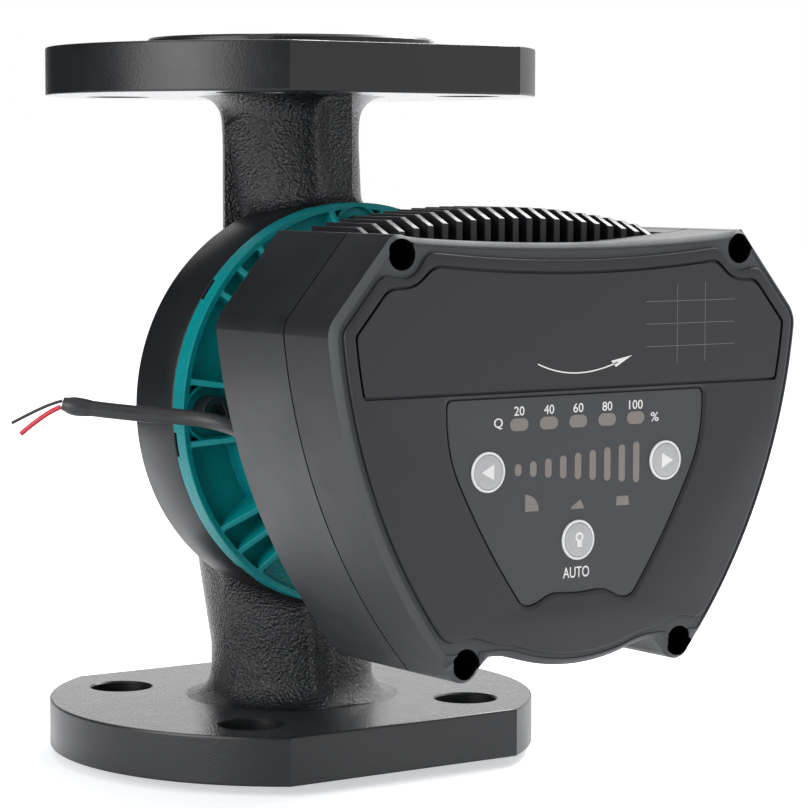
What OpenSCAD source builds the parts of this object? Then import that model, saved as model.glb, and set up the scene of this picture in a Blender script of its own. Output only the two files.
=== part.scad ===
// Wet-rotor circulator pump for heating water, with two oval-cut pipe flanges,
// a ribbed motor housing and a control box with a finned rear shell.
// Origin: centre of the lower sealing face. +Z runs up the pipe, the panel faces -Y.

/* [Pipe flanges] */
// Distance between the two sealing faces
face_to_face = 220; // [214:1:240]
// Outside diameter of each flange
flange_d = 150; // [144:1:156]
// Width across the two flats of each flange
flange_flats = 126; // [122:1:134]
// Thickness of the flange plate behind its raised face
flange_t = 14.5; // [12:0.5:16]
// Diameter of the raised sealing face
raised_d = 88; // [80:1:89]
// Height of the raised sealing face
raised_h = 3; // [2:0.5:4]
// Pitch circle diameter of the flange holes
bolt_pcd = 110; // [108:1:114]
// Diameter of the flange holes
bolt_hole_d = 19; // [17:0.5:20]
// Bore diameter at the sealing faces
bore_d = 40; // [36:1:42]
// Length of the straight bore behind each sealing face
bore_len = 14; // [10:1:18]

/* [Pump housing] */
// Radius of the volute ring and of the rounded back
ring_r = 60.5; // [59:0.5:62]
// Width of the volute ring along the motor axis
ring_w = 22; // [18:1:24]
// Distance from the pipe axis to the joint with the motor housing
joint_s = 30.5; // [29.5:0.5:32]
// Radius of the upper neck
upper_neck_r = 21; // [20:0.5:23]
// Radius of the lower neck above its fillet
lower_neck_r = 25; // [24:0.5:27]
// Radius of the lower neck where it enters the volute
lower_flare_r = 34; // [32:0.5:36]
// Fillet between necks and flanges
neck_fillet = 8; // [5:0.5:9]
// Forward lean of the discharge channel, in degrees
discharge_lean = 12; // [10:0.5:13]
// Radius of the discharge channel
discharge_r = 14; // [12:0.5:14.5]
// Width of the front web on the upper neck
web_w = 8.6; // [6:0.2:12]
// Distance from the pipe axis to the front of that web
web_s = 27.5; // [25:0.5:29]
// Half depth of the flattened suction channel
suction_r = 9; // [8:0.5:9.5]
// Distance between the round ends of the suction channel
suction_span = 20; // [14:1:24]
// Radius of the chamber behind the impeller eye
chamber_r = 21; // [20:0.5:22]
// Depth of the volute cavity along the motor axis
cavity_w = 16; // [15:0.5:17]
// Smallest radius of the spiral cavity
spiral_min = 41.5; // [41:0.5:43]
// Largest radius of the spiral cavity
spiral_max = 47; // [45:0.5:47.5]
// Thickness of the wall between suction chamber and volute
partition_t = 4; // [3.5:0.5:5]

/* [Impeller] */
// Outside radius of the impeller
impeller_r = 38.5; // [36:0.5:39]
// Number of blades
blade_count = 7; // [5:1:9]
// Thickness of each blade
blade_t = 1.6; // [1.2:0.1:2]
// Radius of the arc that each blade follows
blade_arc_r = 26; // [24:0.5:30]
// Width of the blade channel at the rim
blade_h = 5; // [4:0.5:5.5]
// Thickness of the shrouds
shroud_t = 1.8; // [1.4:0.1:2]
// Radius of the impeller eye
eye_r = 15.5; // [14:0.5:16]
// Wall of the eye's neck and of the wear ring
eye_wall = 1.5; // [1.2:0.1:1.8]
// Radial running gap in the wear ring
eye_gap = 0.3; // [0.25:0.05:0.4]
// Gap between the impeller and the bearing plate
impeller_gap = 1.2; // [1:0.1:1.5]

/* [Rotor] */
// Shaft radius
shaft_r = 5; // [4.5:0.1:5.4]
// Radial clearance of the shaft in its bearings
bearing_gap = 0.03; // [0.02:0.01:0.06]
// Wall of the bearing bushes
bearing_wall = 3.4; // [3:0.1:3.6]
// Length of the bearing bushes
bearing_len = 8; // [7:0.5:8]
// Radius of the magnet
magnet_r = 18; // [17:0.25:18.2]
// Wall of the sleeve around the magnet
sleeve_t = 0.5; // [0.3:0.1:0.6]
// Gap between rotor and can
rotor_gap = 0.6; // [0.4:0.1:0.8]
// Wall of the can
can_t = 0.7; // [0.5:0.1:0.9]
// Thickness of the thrust washer
washer_t = 1.5; // [1:0.1:2]

/* [Motor] */
// Length of the motor housing, from joint to control box
motor_len = 56; // [54:0.5:64]
// Thickness of the motor flange at its rim
motor_flange_t = 6.3; // [5.5:0.1:7.5]
// Radius of the housing's drum
drum_r = 45; // [44.5:0.25:46]
// Wall of the drum
drum_wall = 3.5; // [3:0.1:4]
// Thickness of the motor flange inside its rim
flange_floor_t = 3.4; // [3:0.1:4]
// Width of the flange's raised rim
rim_w = 2; // [1.5:0.1:2.5]
// Forward rise of the ribs per unit of radius
rib_slope = 0.63; // [0.55:0.01:0.7]
// Height of the ribs on the drum
rib_h = 1.4; // [1:0.1:2]
// Thickness of the ribs
rib_t = 1.8; // [1.4:0.1:2.4]
// Radius of the circle of motor bolts
motor_bolt_pc = 51.7; // [51.6:0.1:52.2]
// Radius of the motor bolts
motor_bolt_r = 3; // [2.6:0.1:3.1]
// Radius of the pockets round the bolt heads
bolt_pocket_r = 7.4; // [6.6:0.1:7.6]
// Flange thickness under the bolt heads
bolt_seat_t = 5; // [4.5:0.1:5.4]
// Thread length in the pump housing
bolt_grip = 7; // [6:0.5:7.5]
// Length of the drain notches along the rim
notch_len = 7; // [5:0.5:9]
// Depth of the drain notches
notch_d = 1.5; // [1:0.1:2]
// Thickness of the bearing plate
plate_t = 2.4; // [2:0.1:2.6]
// Thickness of the flat seal
seal_t = 0.9; // [0.8:0.1:1.2]
// Radius of the recess that holds plate, can and seal
recess_r = 47.3; // [47:0.1:47.6]
// Length of the winding heads
coil_head = 5.5; // [5:0.5:6]
// Number of stator slots
slot_count = 12; // [9:3:12]

/* [Control box] */
// Depth of the rear shell
shell_depth = 34; // [31:0.5:42]
// Depth of the front cover up to its rim
cover_depth = 21; // [20:0.5:28]
// Rise of the panel above the rim
panel_rise = 3; // [2.5:0.25:3.5]
// Half width across the side corners
box_half_w = 79.8; // [79:0.2:81]
// Height of the side corners above the motor axis
corner_v = 30; // [28:0.5:32]
// Radius of the side arcs
side_r = 166; // [160:1:172]
// Height of the arc centres above the motor axis
side_centre_v = 44; // [42:0.5:46]
// Angle of the shoulder's outward normal, in degrees
shoulder_angle = 40.2; // [38:0.2:42]
// Height of the dished top edge at the middle
top_v = 49.8; // [49:0.1:51]
// Radius of the dished top edge
top_r = 440; // [400:10:500]
// Depth of the bottom edge below the motor axis
base_v = 59.5; // [58:0.5:61]
// Lowest point of the bottom bulge below the motor axis
bulge_v = 63.9; // [63:0.1:65]
// Radius of the bottom bulge
bulge_r = 63; // [58:1:70]
// Distance of the upper cover screws inside the side corners
upper_screw_inset = 22.2; // [21.8:0.2:23]
// Height of the upper cover screws above the motor axis
upper_screw_v = 48.6; // [47.6:0.2:49]
// Distance of the lower cover screws inside the side corners
lower_screw_inset = 43.1; // [42.9:0.1:43.4]
// Depth of the lower cover screws below the motor axis
lower_screw_v = 60.6; // [60.3:0.1:60.8]
// Radius of the screw wells in the front
well_r = 4.4; // [4.1:0.1:4.5]
// Wall round the screw wells
well_wall = 0.8; // [0.7:0.1:1]
// Wall thickness of cover and shell
box_wall = 2.8; // [2.4:0.1:3.2]
// Thickness of the shell's rear wall
rear_wall = 3.5; // [3:0.1:4]
// Number of cooling fins
fin_count = 21; // [15:2:21]
// Distance from fin to fin
fin_pitch = 4.8; // [4.6:0.05:4.9]
// Thickness of a fin
fin_t = 2; // [1.6:0.1:2.4]
// Height of the middle fin's top above the motor axis
fin_top_v = 60.1; // [59:0.1:61]
// Radius of the arch over the fin tops
fin_arch_r = 225; // [200:5:260]
// Height of the slant at the front of a fin
fin_slant_h = 3; // [2:0.1:4]
// Depth of the slant at the front of a fin
fin_slant_d = 6.8; // [5:0.1:9]
// Distance of the fins' front behind the parting line
fin_setback = 5; // [3.5:0.1:6]
// Height of the channel floor between the fins above the motor axis
fin_floor_v = 44; // [43:0.25:46]
// Inset of the raised panel from the outline
panel_inset = 3.3; // [3:0.1:3.8]
// Clearance of the raised panel round the screw wells
panel_notch = 1.7; // [1.4:0.1:2]
// Inset of the rating plate from the outline
plate_inset = 6.8; // [6.4:0.1:7.4]
// Lower edge of the rating plate above the motor axis
plate_base_v = 11.5; // [11:0.1:13]
// Clearance of the rating plate round the screw wells
plate_notch = 3.6; // [3:0.1:4]
// Thickness of the rating plate
plate_rating_t = 0.8; // [0.6:0.1:1]

/* [Keypad] */
// Half width of the keypad
keypad_half_w = 43.6; // [43:0.2:44.4]
// Top edge of the keypad above the motor axis
keypad_top_v = 9.4; // [9:0.1:9.8]
// Depth of the keypad's tips below the motor axis
keypad_tip_v = 47; // [46:0.2:48]
// Half width of the keypad at its tips
keypad_tip_x = 18; // [17:0.2:19]
// Point below the motor axis where the sides turn inwards
keypad_turn_v = 3.4; // [3:0.1:4]
// Radius of the arched sides
keypad_side_r = 220; // [200:5:260]
// Half width of the notch in the lower edge
keypad_notch_x = 9; // [8:0.1:10]
// Depth of that notch
keypad_notch_h = 4; // [3.5:0.1:4.5]
// Thickness of the keypad overlay
keypad_t = 0.8; // [0.6:0.1:1]
// Depth of the keypad's surface below the panel
keypad_sink = 0.6; // [0.5:0.1:0.9]
// Outside radius of the button bezels
bezel_r = 5.6; // [5.4:0.1:6]
// Width of the button bezels
bezel_w = 1.1; // [0.9:0.05:1.2]
// Height of the bezels above the keypad
bezel_h = 0.5; // [0.3:0.05:0.6]
// Radial gap round each button
button_gap = 0.3; // [0.2:0.05:0.4]
// Travel of the buttons
button_travel = 0.8; // [0.5:0.05:0.9]
// Height of the buttons above the keypad
button_h = 1.2; // [1:0.05:1.5]
// Half distance between the two arrow buttons
arrow_x = 30.4; // [30:0.1:31]
// Depth of the arrow buttons and of the bars below the motor axis
arrow_v = 9.5; // [9.2:0.1:10]
// Depth of the third button below the motor axis
auto_v = 29.6; // [29:0.1:30]
// Height of the row of lights above the motor axis
pill_v = 2.7; // [2.4:0.1:3]
// Distance between those lights
pill_pitch = 10; // [9.6:0.1:10.4]
// Length of those lights
pill_w = 6.1; // [5:0.1:6.4]
// Height of those lights
pill_h = 3.4; // [3:0.1:3.6]
// Distance between the level bars
bar_pitch = 5.07; // [4.9:0.01:5.2]
// Width of the level bars
bar_w = 2.2; // [1.8:0.1:2.4]
// Length of the shortest level bar
bar_min = 3.2; // [2.8:0.1:3.6]
// Length of the longest level bar
bar_max = 11.2; // [10.4:0.1:11.6]
// Depth of the mode signs' upper edge below the motor axis
mode_v = 18.6; // [18.4:0.1:19]
// Distance between the mode signs
mode_pitch = 15.6; // [15:0.1:16]
// Size of the mode signs
mode_w = 4.6; // [4:0.1:4.8]

/* [Boards] */
// Thickness of the circuit boards
board_t = 1.6; // [1.2:0.1:2]
// Length of the power board's posts
power_post = 8; // [7:0.5:9]
// Half width of the power board
power_half_w = 44; // [42:0.5:46]
// Half height of the power board
power_half_h = 32; // [30:0.5:34]
// Half width of the control board
control_half_w = 38; // [37:0.5:39]
// Upper edge of the control board above the motor axis
control_top_v = 14; // [13:0.5:15]
// Lower edge of the control board below the motor axis
control_base_v = 36; // [35:0.5:37]
// Height of the push switches
switch_h = 4; // [3.5:0.1:4.2]
// Side of the push switches
switch_w = 6; // [5.5:0.1:6.5]
// Room between control board and panel
control_room = 7; // [6.6:0.1:7.5]
// Radius of the two capacitors
capacitor_r = 9; // [8:0.5:10]
// Height of the capacitors
capacitor_h = 20; // [16:1:22]
// Width of the power module
module_w = 26; // [22:1:28]
// Height of the power module along the board
module_h = 12; // [10:0.5:13]
// Thickness of the power module
module_t = 6; // [5:0.5:8]
// Radius of the choke's core
choke_r = 8; // [7:0.5:9]
// Radius of the choke's winding
choke_wire_r = 4; // [3:0.25:4]

/* [Signal cable] */
// Diameter of the cable
cable_d = 4.5; // [4:0.1:5]
// Diameter of the shrink sleeve
sleeve_d = 5.4; // [5.2:0.1:6]
// Diameter of the black core
black_core_d = 0.9; // [0.8:0.1:1.2]
// Diameter of the red core
red_core_d = 1.4; // [1.2:0.1:1.6]

/* [Hidden] */
$fn = 96;
// Facets of the long shallow arcs
arc_fn = 720;

// Small overshoot of every cutting shape
over = 0.4;
// Radial clearance of a thread or a dowel in its hole
thread_gap = 0.05;
// Clearance of a piece in its recess
seat_gap = 0.1;
// A length beyond the whole object, for half spaces
reach = 300;

// Places along the pipe
axis_z = face_to_face / 2;
flange_in = raised_h + flange_t;
neck_narrow_d = bore_d - 8;
// Lap of one channel cut into the next
channel_lap = 2;
suction_start_z = 2 * bore_len + 6;
discharge_start_z = face_to_face - 2 * bore_len - 8;
discharge_len = 42;
discharge_wall = 3.5;
// Back of the upper neck stays upright behind this distance
upper_step = 6;
// Depth of the web's foot in the volute ring
web_sink = 8;
// Step from the volute ring down to the rounded back
ring_step = 0.6;

// Places along the motor axis, measured forward from the pipe axis
recess_s = joint_s - plate_t - can_t - seal_t;
cavity_s = recess_s - cavity_w;
partition_s = cavity_s - partition_t;
chamber_floor = 1;
chamber_s = -chamber_r - chamber_floor;
box_s = joint_s + motor_len;
parting_s = box_s + shell_depth;
rim_s = parting_s + cover_depth;
panel_s = rim_s + panel_rise;

// Impeller, counted back from the bearing plate
hub_s = recess_s - impeller_gap - shroud_t;
shroud_s = hub_s - blade_h - shroud_t;
eye_rise = 2;
eye_end_gap = 1;
neck_end_s = partition_s + eye_end_gap;
wear_r = eye_r + eye_wall + eye_gap;
hub_land = 4;
hub_r = shaft_r + hub_land;
nut_h = 5;
nut_land = 2.2;
// Drop of each blade arc's centre, as a share of its radius
blade_turn = 0.72;

// Rotor and can
bearing_r = shaft_r + bearing_gap + bearing_wall;
sleeve_r = magnet_r + sleeve_t;
can_r = sleeve_r + rotor_gap + can_t;
can_box_gap = 1.5;
rear_bearing_s = box_s - can_box_gap - can_t - bearing_len;
can_end_s = rear_bearing_s - can_t;
stack_end = can_end_s - coil_head;
winding_gap = 4;
stack_s = joint_s + winding_gap + coil_head + washer_t;
stack_len = stack_end - stack_s;
washer_gap = 0.3;
front_bearing_s = stack_s - washer_t - washer_gap - bearing_len;
hub_wall = 3;
shaft_hole_gap = 1;
shaft_end_gap = 0.5;
shaft_end_s = rear_bearing_s + bearing_len - shaft_end_gap;
thread_step = 1.5;
thread_r = shaft_r - thread_step;
thread_out = 1.5;
thread_s = shroud_s - nut_h - thread_out;
stator_r = drum_r - drum_wall;
tooth_r = can_r + 0.2;
tooth_tip = 3;
yoke_t = 6;
slot_r = stator_r - yoke_t;
slot_share = 0.45;
slot_mouth = 2;
// Clearance of a winding in its slot
coil_gap = 0.2;
// Room between a winding head and the core
coil_end_gap = 1;
lead_v = 26;
lead_hole_r = 7;
lead_r = 1.2;
lead_pitch = 3.2;

// Motor flange
flange_front = joint_s + motor_flange_t;
flange_floor_s = joint_s + flange_floor_t;
rim_in_r = ring_r - rim_w;
rib_rise_s = flange_front + rib_slope * (rim_in_r - drum_r);
bolt_seat_s = joint_s + bolt_seat_t;
bolt_head_r = motor_bolt_r + 2;
bolt_head_h = 2 * motor_bolt_r;
bolt_gap = 0.3;
rib_angles = [-9, 9, 36, 45, 54];
// Depth of a rib's root in the drum and in the rim, its free length at the box and the slope of its end
rib_root = 1;
rib_end_gap = 10;
rib_runout = 2;
pocket_wall = 1;
notch_offset = 9;
notch_reach = 4;
gasket_t = 1;
gasket_w = 1.9;
shell_screw_pc = drum_r + 1;
shell_screw_r = 1.8;
shell_boss_r = 4.2;
shell_boss_len = 18;
shell_grip = 10;
shell_head_r = shell_screw_r + 1.6;
shell_head_h = 2.4;
// Blind depth left under the tip of a screw
tip_gap = 1;

// Control box
side_centre_x = box_half_w - sqrt(side_r * side_r - pow(side_centre_v - corner_v, 2));
boss_r = well_r + well_wall;
upper_screw_x = box_half_w - upper_screw_inset;
lower_screw_x = box_half_w - lower_screw_inset;
cover_screws_at = [
    [upper_screw_x, upper_screw_v], [-upper_screw_x, upper_screw_v],
    [lower_screw_x, -lower_screw_v], [-lower_screw_x, -lower_screw_v]
];
fin_zone = fin_pitch * (fin_count - 1) / 2 + fin_pitch / 2;
fin_front_s = parting_s - fin_setback;
// Reach of the web between a lower screw boss and the base, and the boss angle it starts from
heel_reach = 8;
heel_angle = 30;
// Room between a web's corners and the outline's arcs
heel_gap = 0.05;
roof_t = 2.4;
cover_ceiling = rim_s - roof_t;
panel_ceiling = panel_s - box_wall - keypad_sink;
screw_r = 2;
screw_head_r = well_r - 0.5;
screw_head_h = 2.6;
socket_r = screw_r - 0.3;
screw_seat_s = parting_s + 5;
screw_grip = 14;
seal_inset = 0.8;
seal_w = 1.1;
seal_h = 1.2;
// Room between a cover screw and the seal that passes it
seal_screw_gap = 1.2;
frame_t = 2.2;

// Panel, keypad and boards
keypad_s = panel_s - keypad_sink;
keypad_floor_s = keypad_s - keypad_t;
board_front_s = panel_ceiling - control_room;
control_s = board_front_s - board_t;
power_s = box_s + rear_wall + power_post;
power_front_s = power_s + board_t;
switch_s = board_front_s + switch_h;
button_r = bezel_r - bezel_w - button_gap;
button_dome_r = 14;
button_flange_t = 0.8;
button_flange_w = 1.2;
stem_r = 1.6;
stem_gap = 0.2;
// Depth of the stem in its switch
stem_depth = 1;
chip_h = 0.8;
chip_w = 1.6;
light_gap = 0.1;
chip_gap = 0.2;
guide_s = board_front_s + chip_h + chip_gap;
pill_count = 5;
bar_count = 9;
mode_h = mode_w * 0.55;
mode_slant = 0.4;
// Peak and heel of the wedge sign, as shares of its width and height
mode_peak = 0.7;
mode_heel = 0.2;
// Clearance of plate and keypad in their pockets
pocket_gap = 0.3;
buttons_at = [[-arrow_x, -arrow_v], [arrow_x, -arrow_v], [0, -auto_v]];
post_r = 3.2;
board_screw_r = 1.3;
board_screw_head = 2.4;
board_screw_head_h = 1.6;
board_screw_len = 6;
control_post_inset = 4;
control_post_x = 12;
control_posts = [
    for (i = [-1, 1]) [i * (control_half_w - control_post_inset), control_top_v - control_post_inset],
    for (i = [-1, 1]) [i * control_post_x, control_post_inset - 1 - control_base_v]
];
control_tail_x = 20;
control_turn_v = 12;
power_post_inset = 5;
power_posts = [
    for (i = [-1, 1], j = [-1, 1])
        [i * (power_half_w - power_post_inset), j * (power_half_h - power_post_inset)]
];
// Places of the parts on the power board, from its edges
capacitors_at = [
    for (j = [-1, 1]) [2 * capacitor_r - power_half_w, -7 + j * (capacitor_r + 2)]
];
module_at = [power_half_w - 10 - module_w, power_half_h - 6 - module_h];
choke_at = [power_half_w - 20, 20 - power_half_h];
link_at = [0, 10];
link_w = 16;
link_d = 5;

// Signal cable: the gland's place on the rear wall, then the routes from the gland's tip
gland_inset = 17.8;
gland_x = gland_inset - box_half_w;
gland_v = -3;
gland_r = 4.6;
gland_tip_r = 3.2;
gland_len = 7.5;
gland_plug = 2;
gland_nut_t = 1.5;
gland_tip = [gland_x, gland_len - box_s, axis_z + gland_v];
cable_route = [
    [0, 0, 0], [0, 4, 0], [0, 8, 0.5], [-0.4, 12.5, 1.4], [-2, 18, 2.4], [-4.8, 22.5, 3.2],
    [-8.8, 26.5, 3.7], [-13, 29.7, 4.1], [-17, 32.7, 4.4], [-21, 35.7, 4.9], [-25, 38.7, 5.4],
    [-29, 41.7, 6]
];
sleeve_route = [[-29, 41.7, 6], [-33, 44.7, 6.6], [-35.4, 46.5, 7.3]];
black_route = [
    [-35.6, 46.6, 8.1], [-38.3, 48.7, 7], [-41.2, 50.9, 5.4], [-44.1, 53.1, 3.6], [-47, 55.3, 1.7]
];
red_route = [
    [-35.9, 46.8, 6.4], [-38.2, 48.5, 5], [-40.6, 50.4, 3], [-42.9, 52.2, 0.8], [-45, 53.8, -1.4]
];

// Frame of the motor: x right, y up, z forward along the motor axis
module motor_frame() {
    translate([0, 0, axis_z]) rotate([90, 0, 0]) children();
}

module forward(s) {
    translate([0, 0, s]) children();
}

module ring(r_out, r_in, h) {
    difference() {
        cylinder(r = r_out, h = h);
        translate([0, 0, -over]) cylinder(r = r_in, h = h + 2 * over);
    }
}

// Copies round the motor axis
module around(count, first = 0) {
    for (i = [0 : count - 1]) rotate(first + i * 360 / count) children();
}

module at_points(points) {
    for (p = points) translate([p[0], p[1], 0]) children();
}

// Tube along a route: rings of points across the route, joined by quads
function unit(v) = v / norm(v);
function heading(path, i) =
    unit(path[min(i + 1, len(path) - 1)] - path[max(i - 1, 0)]);
function across(t) = unit(cross([0, 0, 1], t));
function ring_points(path, i, r, sides) =
    let (t = heading(path, i), a = across(t), b = cross(t, a))
    [for (k = [0 : sides - 1])
        path[i] + r * (cos(360 * k / sides) * a + sin(360 * k / sides) * b)];

module tube_along(path, d, sides) {
    last = len(path) - 1;
    points = [for (i = [0 : last]) each ring_points(path, i, d / 2, sides)];
    walls = [
        for (i = [0 : last - 1], k = [0 : sides - 1])
            [i * sides + k, (i + 1) * sides + k,
             (i + 1) * sides + (k + 1) % sides, i * sides + (k + 1) % sides]
    ];
    start_cap = [[for (k = [0 : sides - 1]) k]];
    end_cap = [[for (k = [sides - 1 : -1 : 0]) last * sides + k]];
    polyhedron(points, concat(walls, start_cap, end_cap));
}

// Pump housing: flange plate seen from above, with flats front and back
module flange_outline() {
    intersection() {
        circle(d = flange_d);
        square([flange_d, flange_flats], center = true);
    }
}

module flange_holes() {
    for (i = [0 : 3]) rotate(45 + 90 * i) translate([bolt_pcd / 2, 0]) circle(d = bolt_hole_d);
}

// Lower flange with its raised face at z = 0
module flange() {
    cylinder(d = raised_d, h = raised_h + over);
    translate([0, 0, raised_h]) linear_extrude(flange_t) flange_outline();
}

// Half profile of a neck of radius r and height h, with the fillet at its foot
module neck_profile(r, h) {
    square([r, h]);
    difference() {
        translate([0, -over]) square([r + neck_fillet, neck_fillet + over]);
        translate([r + neck_fillet, neck_fillet]) circle(r = neck_fillet);
    }
}

// Half profile of the lower neck: foot, flare and the rounded suction bulge behind the volute
module suction_profile() {
    drum_h = 2 * neck_fillet;
    flare_h = axis_z - flange_in - 2 * drum_h;
    neck_profile(lower_neck_r, drum_h);
    polygon([
        [0, drum_h - over], [lower_neck_r, drum_h - over], [lower_flare_r, drum_h + flare_h],
        [lower_flare_r, axis_z - flange_in], [0, axis_z - flange_in]
    ]);
    intersection() {
        translate([0, axis_z - flange_in]) circle(r = lower_flare_r);
        square([lower_flare_r, face_to_face]);
    }
}

module flip_end() {
    translate([0, 0, face_to_face]) mirror([0, 0, 1]) children();
}

module bore_void() {
    translate([0, 0, -over]) cylinder(d = bore_d, h = bore_len + over);
    translate([0, 0, bore_len - over]) cylinder(d1 = bore_d, d2 = neck_narrow_d, h = bore_len);
}

// Spiral of the volute: the radius grows evenly round the motor axis
module spiral() {
    steps = 48;
    polygon([
        for (i = [0 : steps - 1])
            let (r = spiral_min + (spiral_max - spiral_min) * i / steps, a = 90 - i * 360 / steps)
            r * [cos(a), sin(a)]
    ]);
}

module discharge_axis() {
    translate([0, 0, face_to_face - flange_in - neck_fillet])
        rotate([180 - discharge_lean, 0, 0]) children();
}

module housing_body() {
    flange();
    flip_end() flange();
    translate([0, 0, flange_in]) rotate_extrude() suction_profile();
    // Upper neck: back half upright, front half leaning towards the volute
    intersection() {
        translate([0, 0, axis_z]) cylinder(r = upper_neck_r, h = axis_z - flange_in);
        translate([-reach / 2, upper_step, 0]) cube(reach);
    }
    flip_end() translate([0, 0, flange_in])
        rotate_extrude() neck_profile(upper_neck_r, 2 * neck_fillet);
    discharge_axis()
        cylinder(r1 = upper_neck_r - over, r2 = discharge_r + discharge_wall, h = discharge_len);
    web_z = axis_z + ring_r - web_sink;
    translate([-web_w / 2, -web_s, web_z])
        cube([web_w, web_s, face_to_face - flange_in - web_z + over]);
    // Volute: ring in front, half sphere behind
    motor_frame() {
        forward(joint_s - ring_w) cylinder(r = ring_r, h = ring_w);
        forward(joint_s) sphere(r = ring_r - ring_step);
    }
}

module suction_slot() {
    rise = axis_z - suction_start_z;
    lean = atan2(-chamber_s - suction_r - channel_lap, rise - 2 * channel_lap);
    translate([0, 0, suction_start_z]) rotate([-lean, 0, 0]) linear_extrude(rise) union() {
        square([suction_span, 2 * suction_r], center = true);
        for (i = [-1, 1]) translate([i * suction_span / 2, 0]) circle(r = suction_r);
    }
}

module pump_housing() color("#26282b") {
    difference() {
        housing_body();
        // Machined joint face
        motor_frame() forward(joint_s) cylinder(r = ring_r + flange_in, h = ring_r + over);
        bore_void();
        flip_end() bore_void();
        for (z = [raised_h, face_to_face - flange_in])
            translate([0, 0, z - over]) linear_extrude(flange_t + 2 * over) flange_holes();
        translate([0, 0, 2 * bore_len - channel_lap])
            cylinder(d = neck_narrow_d, h = suction_start_z - 2 * bore_len + 3 * channel_lap);
        suction_slot();
        translate([0, 0, discharge_start_z])
            cylinder(d = neck_narrow_d, h = face_to_face - 2 * bore_len + channel_lap - discharge_start_z);
        discharge_axis() translate([0, 0, -3 * channel_lap])
            cylinder(r = discharge_r, h = discharge_len + channel_lap);
        motor_frame() {
            forward(chamber_s) cylinder(r = chamber_r, h = partition_s - chamber_s);
            forward(partition_s - over) cylinder(r = wear_r + eye_wall, h = partition_t + 2 * over);
            forward(cavity_s) linear_extrude(cavity_w + over) spiral();
            forward(recess_s) cylinder(r = recess_r, h = joint_s - recess_s + over);
            around(4) translate([motor_bolt_pc, 0, joint_s - bolt_grip - tip_gap])
                cylinder(r = motor_bolt_r + thread_gap, h = bolt_grip + tip_gap + over);
        }
    }
}

module wear_ring() color("#b9bcc0") motor_frame() {
    forward(partition_s) ring(wear_r + eye_wall, wear_r, partition_t);
}

// One blade of constant thickness along an arc from the eye to the rim
module blade() {
    drop = blade_arc_r * blade_turn;
    difference() {
        translate([(blade_arc_r + eye_r) / 2, -drop]) circle(r = blade_arc_r);
        translate([(blade_arc_r + eye_r) / 2, -drop]) circle(r = blade_arc_r - blade_t);
        translate([-reach, -reach]) square([reach, 2 * reach]);
        translate([-reach, -2 * reach - drop]) square([2 * reach, 2 * reach]);
    }
}

module impeller() color("#3d4247") motor_frame() {
    difference() {
        union() {
            forward(hub_s) cylinder(r = impeller_r, h = shroud_t);
            // Rear shroud: a dished disc that ends in the eye's neck
            rotate_extrude() polygon([
                [eye_r, neck_end_s], [eye_r + eye_wall, neck_end_s],
                [eye_r + eye_wall, shroud_s - eye_rise], [impeller_r, shroud_s],
                [impeller_r, shroud_s + shroud_t],
                [eye_r + eye_wall, shroud_s + shroud_t - eye_rise], [eye_r, shroud_s + shroud_t - eye_rise]
            ]);
            intersection() {
                forward(shroud_s) linear_extrude(blade_h + shroud_t + over) around(blade_count) blade();
                forward(shroud_s) ring(impeller_r, eye_r + eye_wall, blade_h + shroud_t + over);
            }
            forward(shroud_s) cylinder(r = hub_r, h = hub_s - shroud_s + over);
        }
        forward(neck_end_s - over) cylinder(r = shaft_r, h = recess_s - neck_end_s + over);
    }
}

module impeller_nut() color("#c9ccd0") motor_frame() {
    difference() {
        forward(shroud_s - nut_h) cylinder(r = shaft_r + nut_land, h = nut_h, $fn = 6);
        forward(shroud_s - nut_h - over) cylinder(r = thread_r, h = nut_h + 2 * over);
    }
}

module rotor_shaft() color("#d5d8db") motor_frame() {
    forward(thread_s) cylinder(r = thread_r, h = shroud_s - thread_s + over);
    forward(shroud_s) cylinder(r = shaft_r, h = shaft_end_s - shroud_s);
}

module rotor_magnet() color("#44464a") motor_frame() {
    forward(stack_s) ring(magnet_r, shaft_r, stack_len);
}

module rotor_sleeve() color("#c4c8cc") motor_frame() {
    forward(stack_s) ring(sleeve_r, magnet_r, stack_len);
}

module thrust_washer() color("#2f3033") motor_frame() {
    forward(stack_s - washer_t) ring(bearing_r, shaft_r, washer_t);
}

module front_bearing() color("#1f2022") motor_frame() {
    forward(front_bearing_s) ring(bearing_r, shaft_r + bearing_gap, bearing_len);
}

module rear_bearing() color("#1f2022") motor_frame() {
    forward(rear_bearing_s) ring(bearing_r, shaft_r + bearing_gap, bearing_len);
}

module bearing_plate() color("#b4b8bd") motor_frame() {
    difference() {
        union() {
            forward(recess_s) cylinder(r = recess_r - seat_gap, h = plate_t);
            forward(recess_s)
                cylinder(r = bearing_r + hub_wall, h = front_bearing_s + bearing_len - recess_s);
        }
        forward(recess_s - over)
            cylinder(r = shaft_r + shaft_hole_gap, h = front_bearing_s - recess_s + 2 * over);
        forward(front_bearing_s) cylinder(r = bearing_r, h = bearing_len + over);
    }
}

module rotor_can() color("#cfd2d6") motor_frame() {
    flange_s = recess_s + plate_t;
    cup_end = rear_bearing_s + bearing_len;
    forward(flange_s) ring(recess_r - seat_gap, can_r - can_t, can_t);
    forward(flange_s) ring(can_r, can_r - can_t, can_end_s - flange_s + can_t);
    forward(can_end_s) ring(can_r, bearing_r, can_t);
    forward(can_end_s) ring(bearing_r + can_t, bearing_r, cup_end - can_end_s + can_t);
    forward(cup_end) cylinder(r = bearing_r + can_t, h = can_t);
}

module can_seal() color("#17181a") motor_frame() {
    forward(joint_s - seal_t) ring(recess_r - seat_gap, stator_r + 1, seal_t);
}

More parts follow.
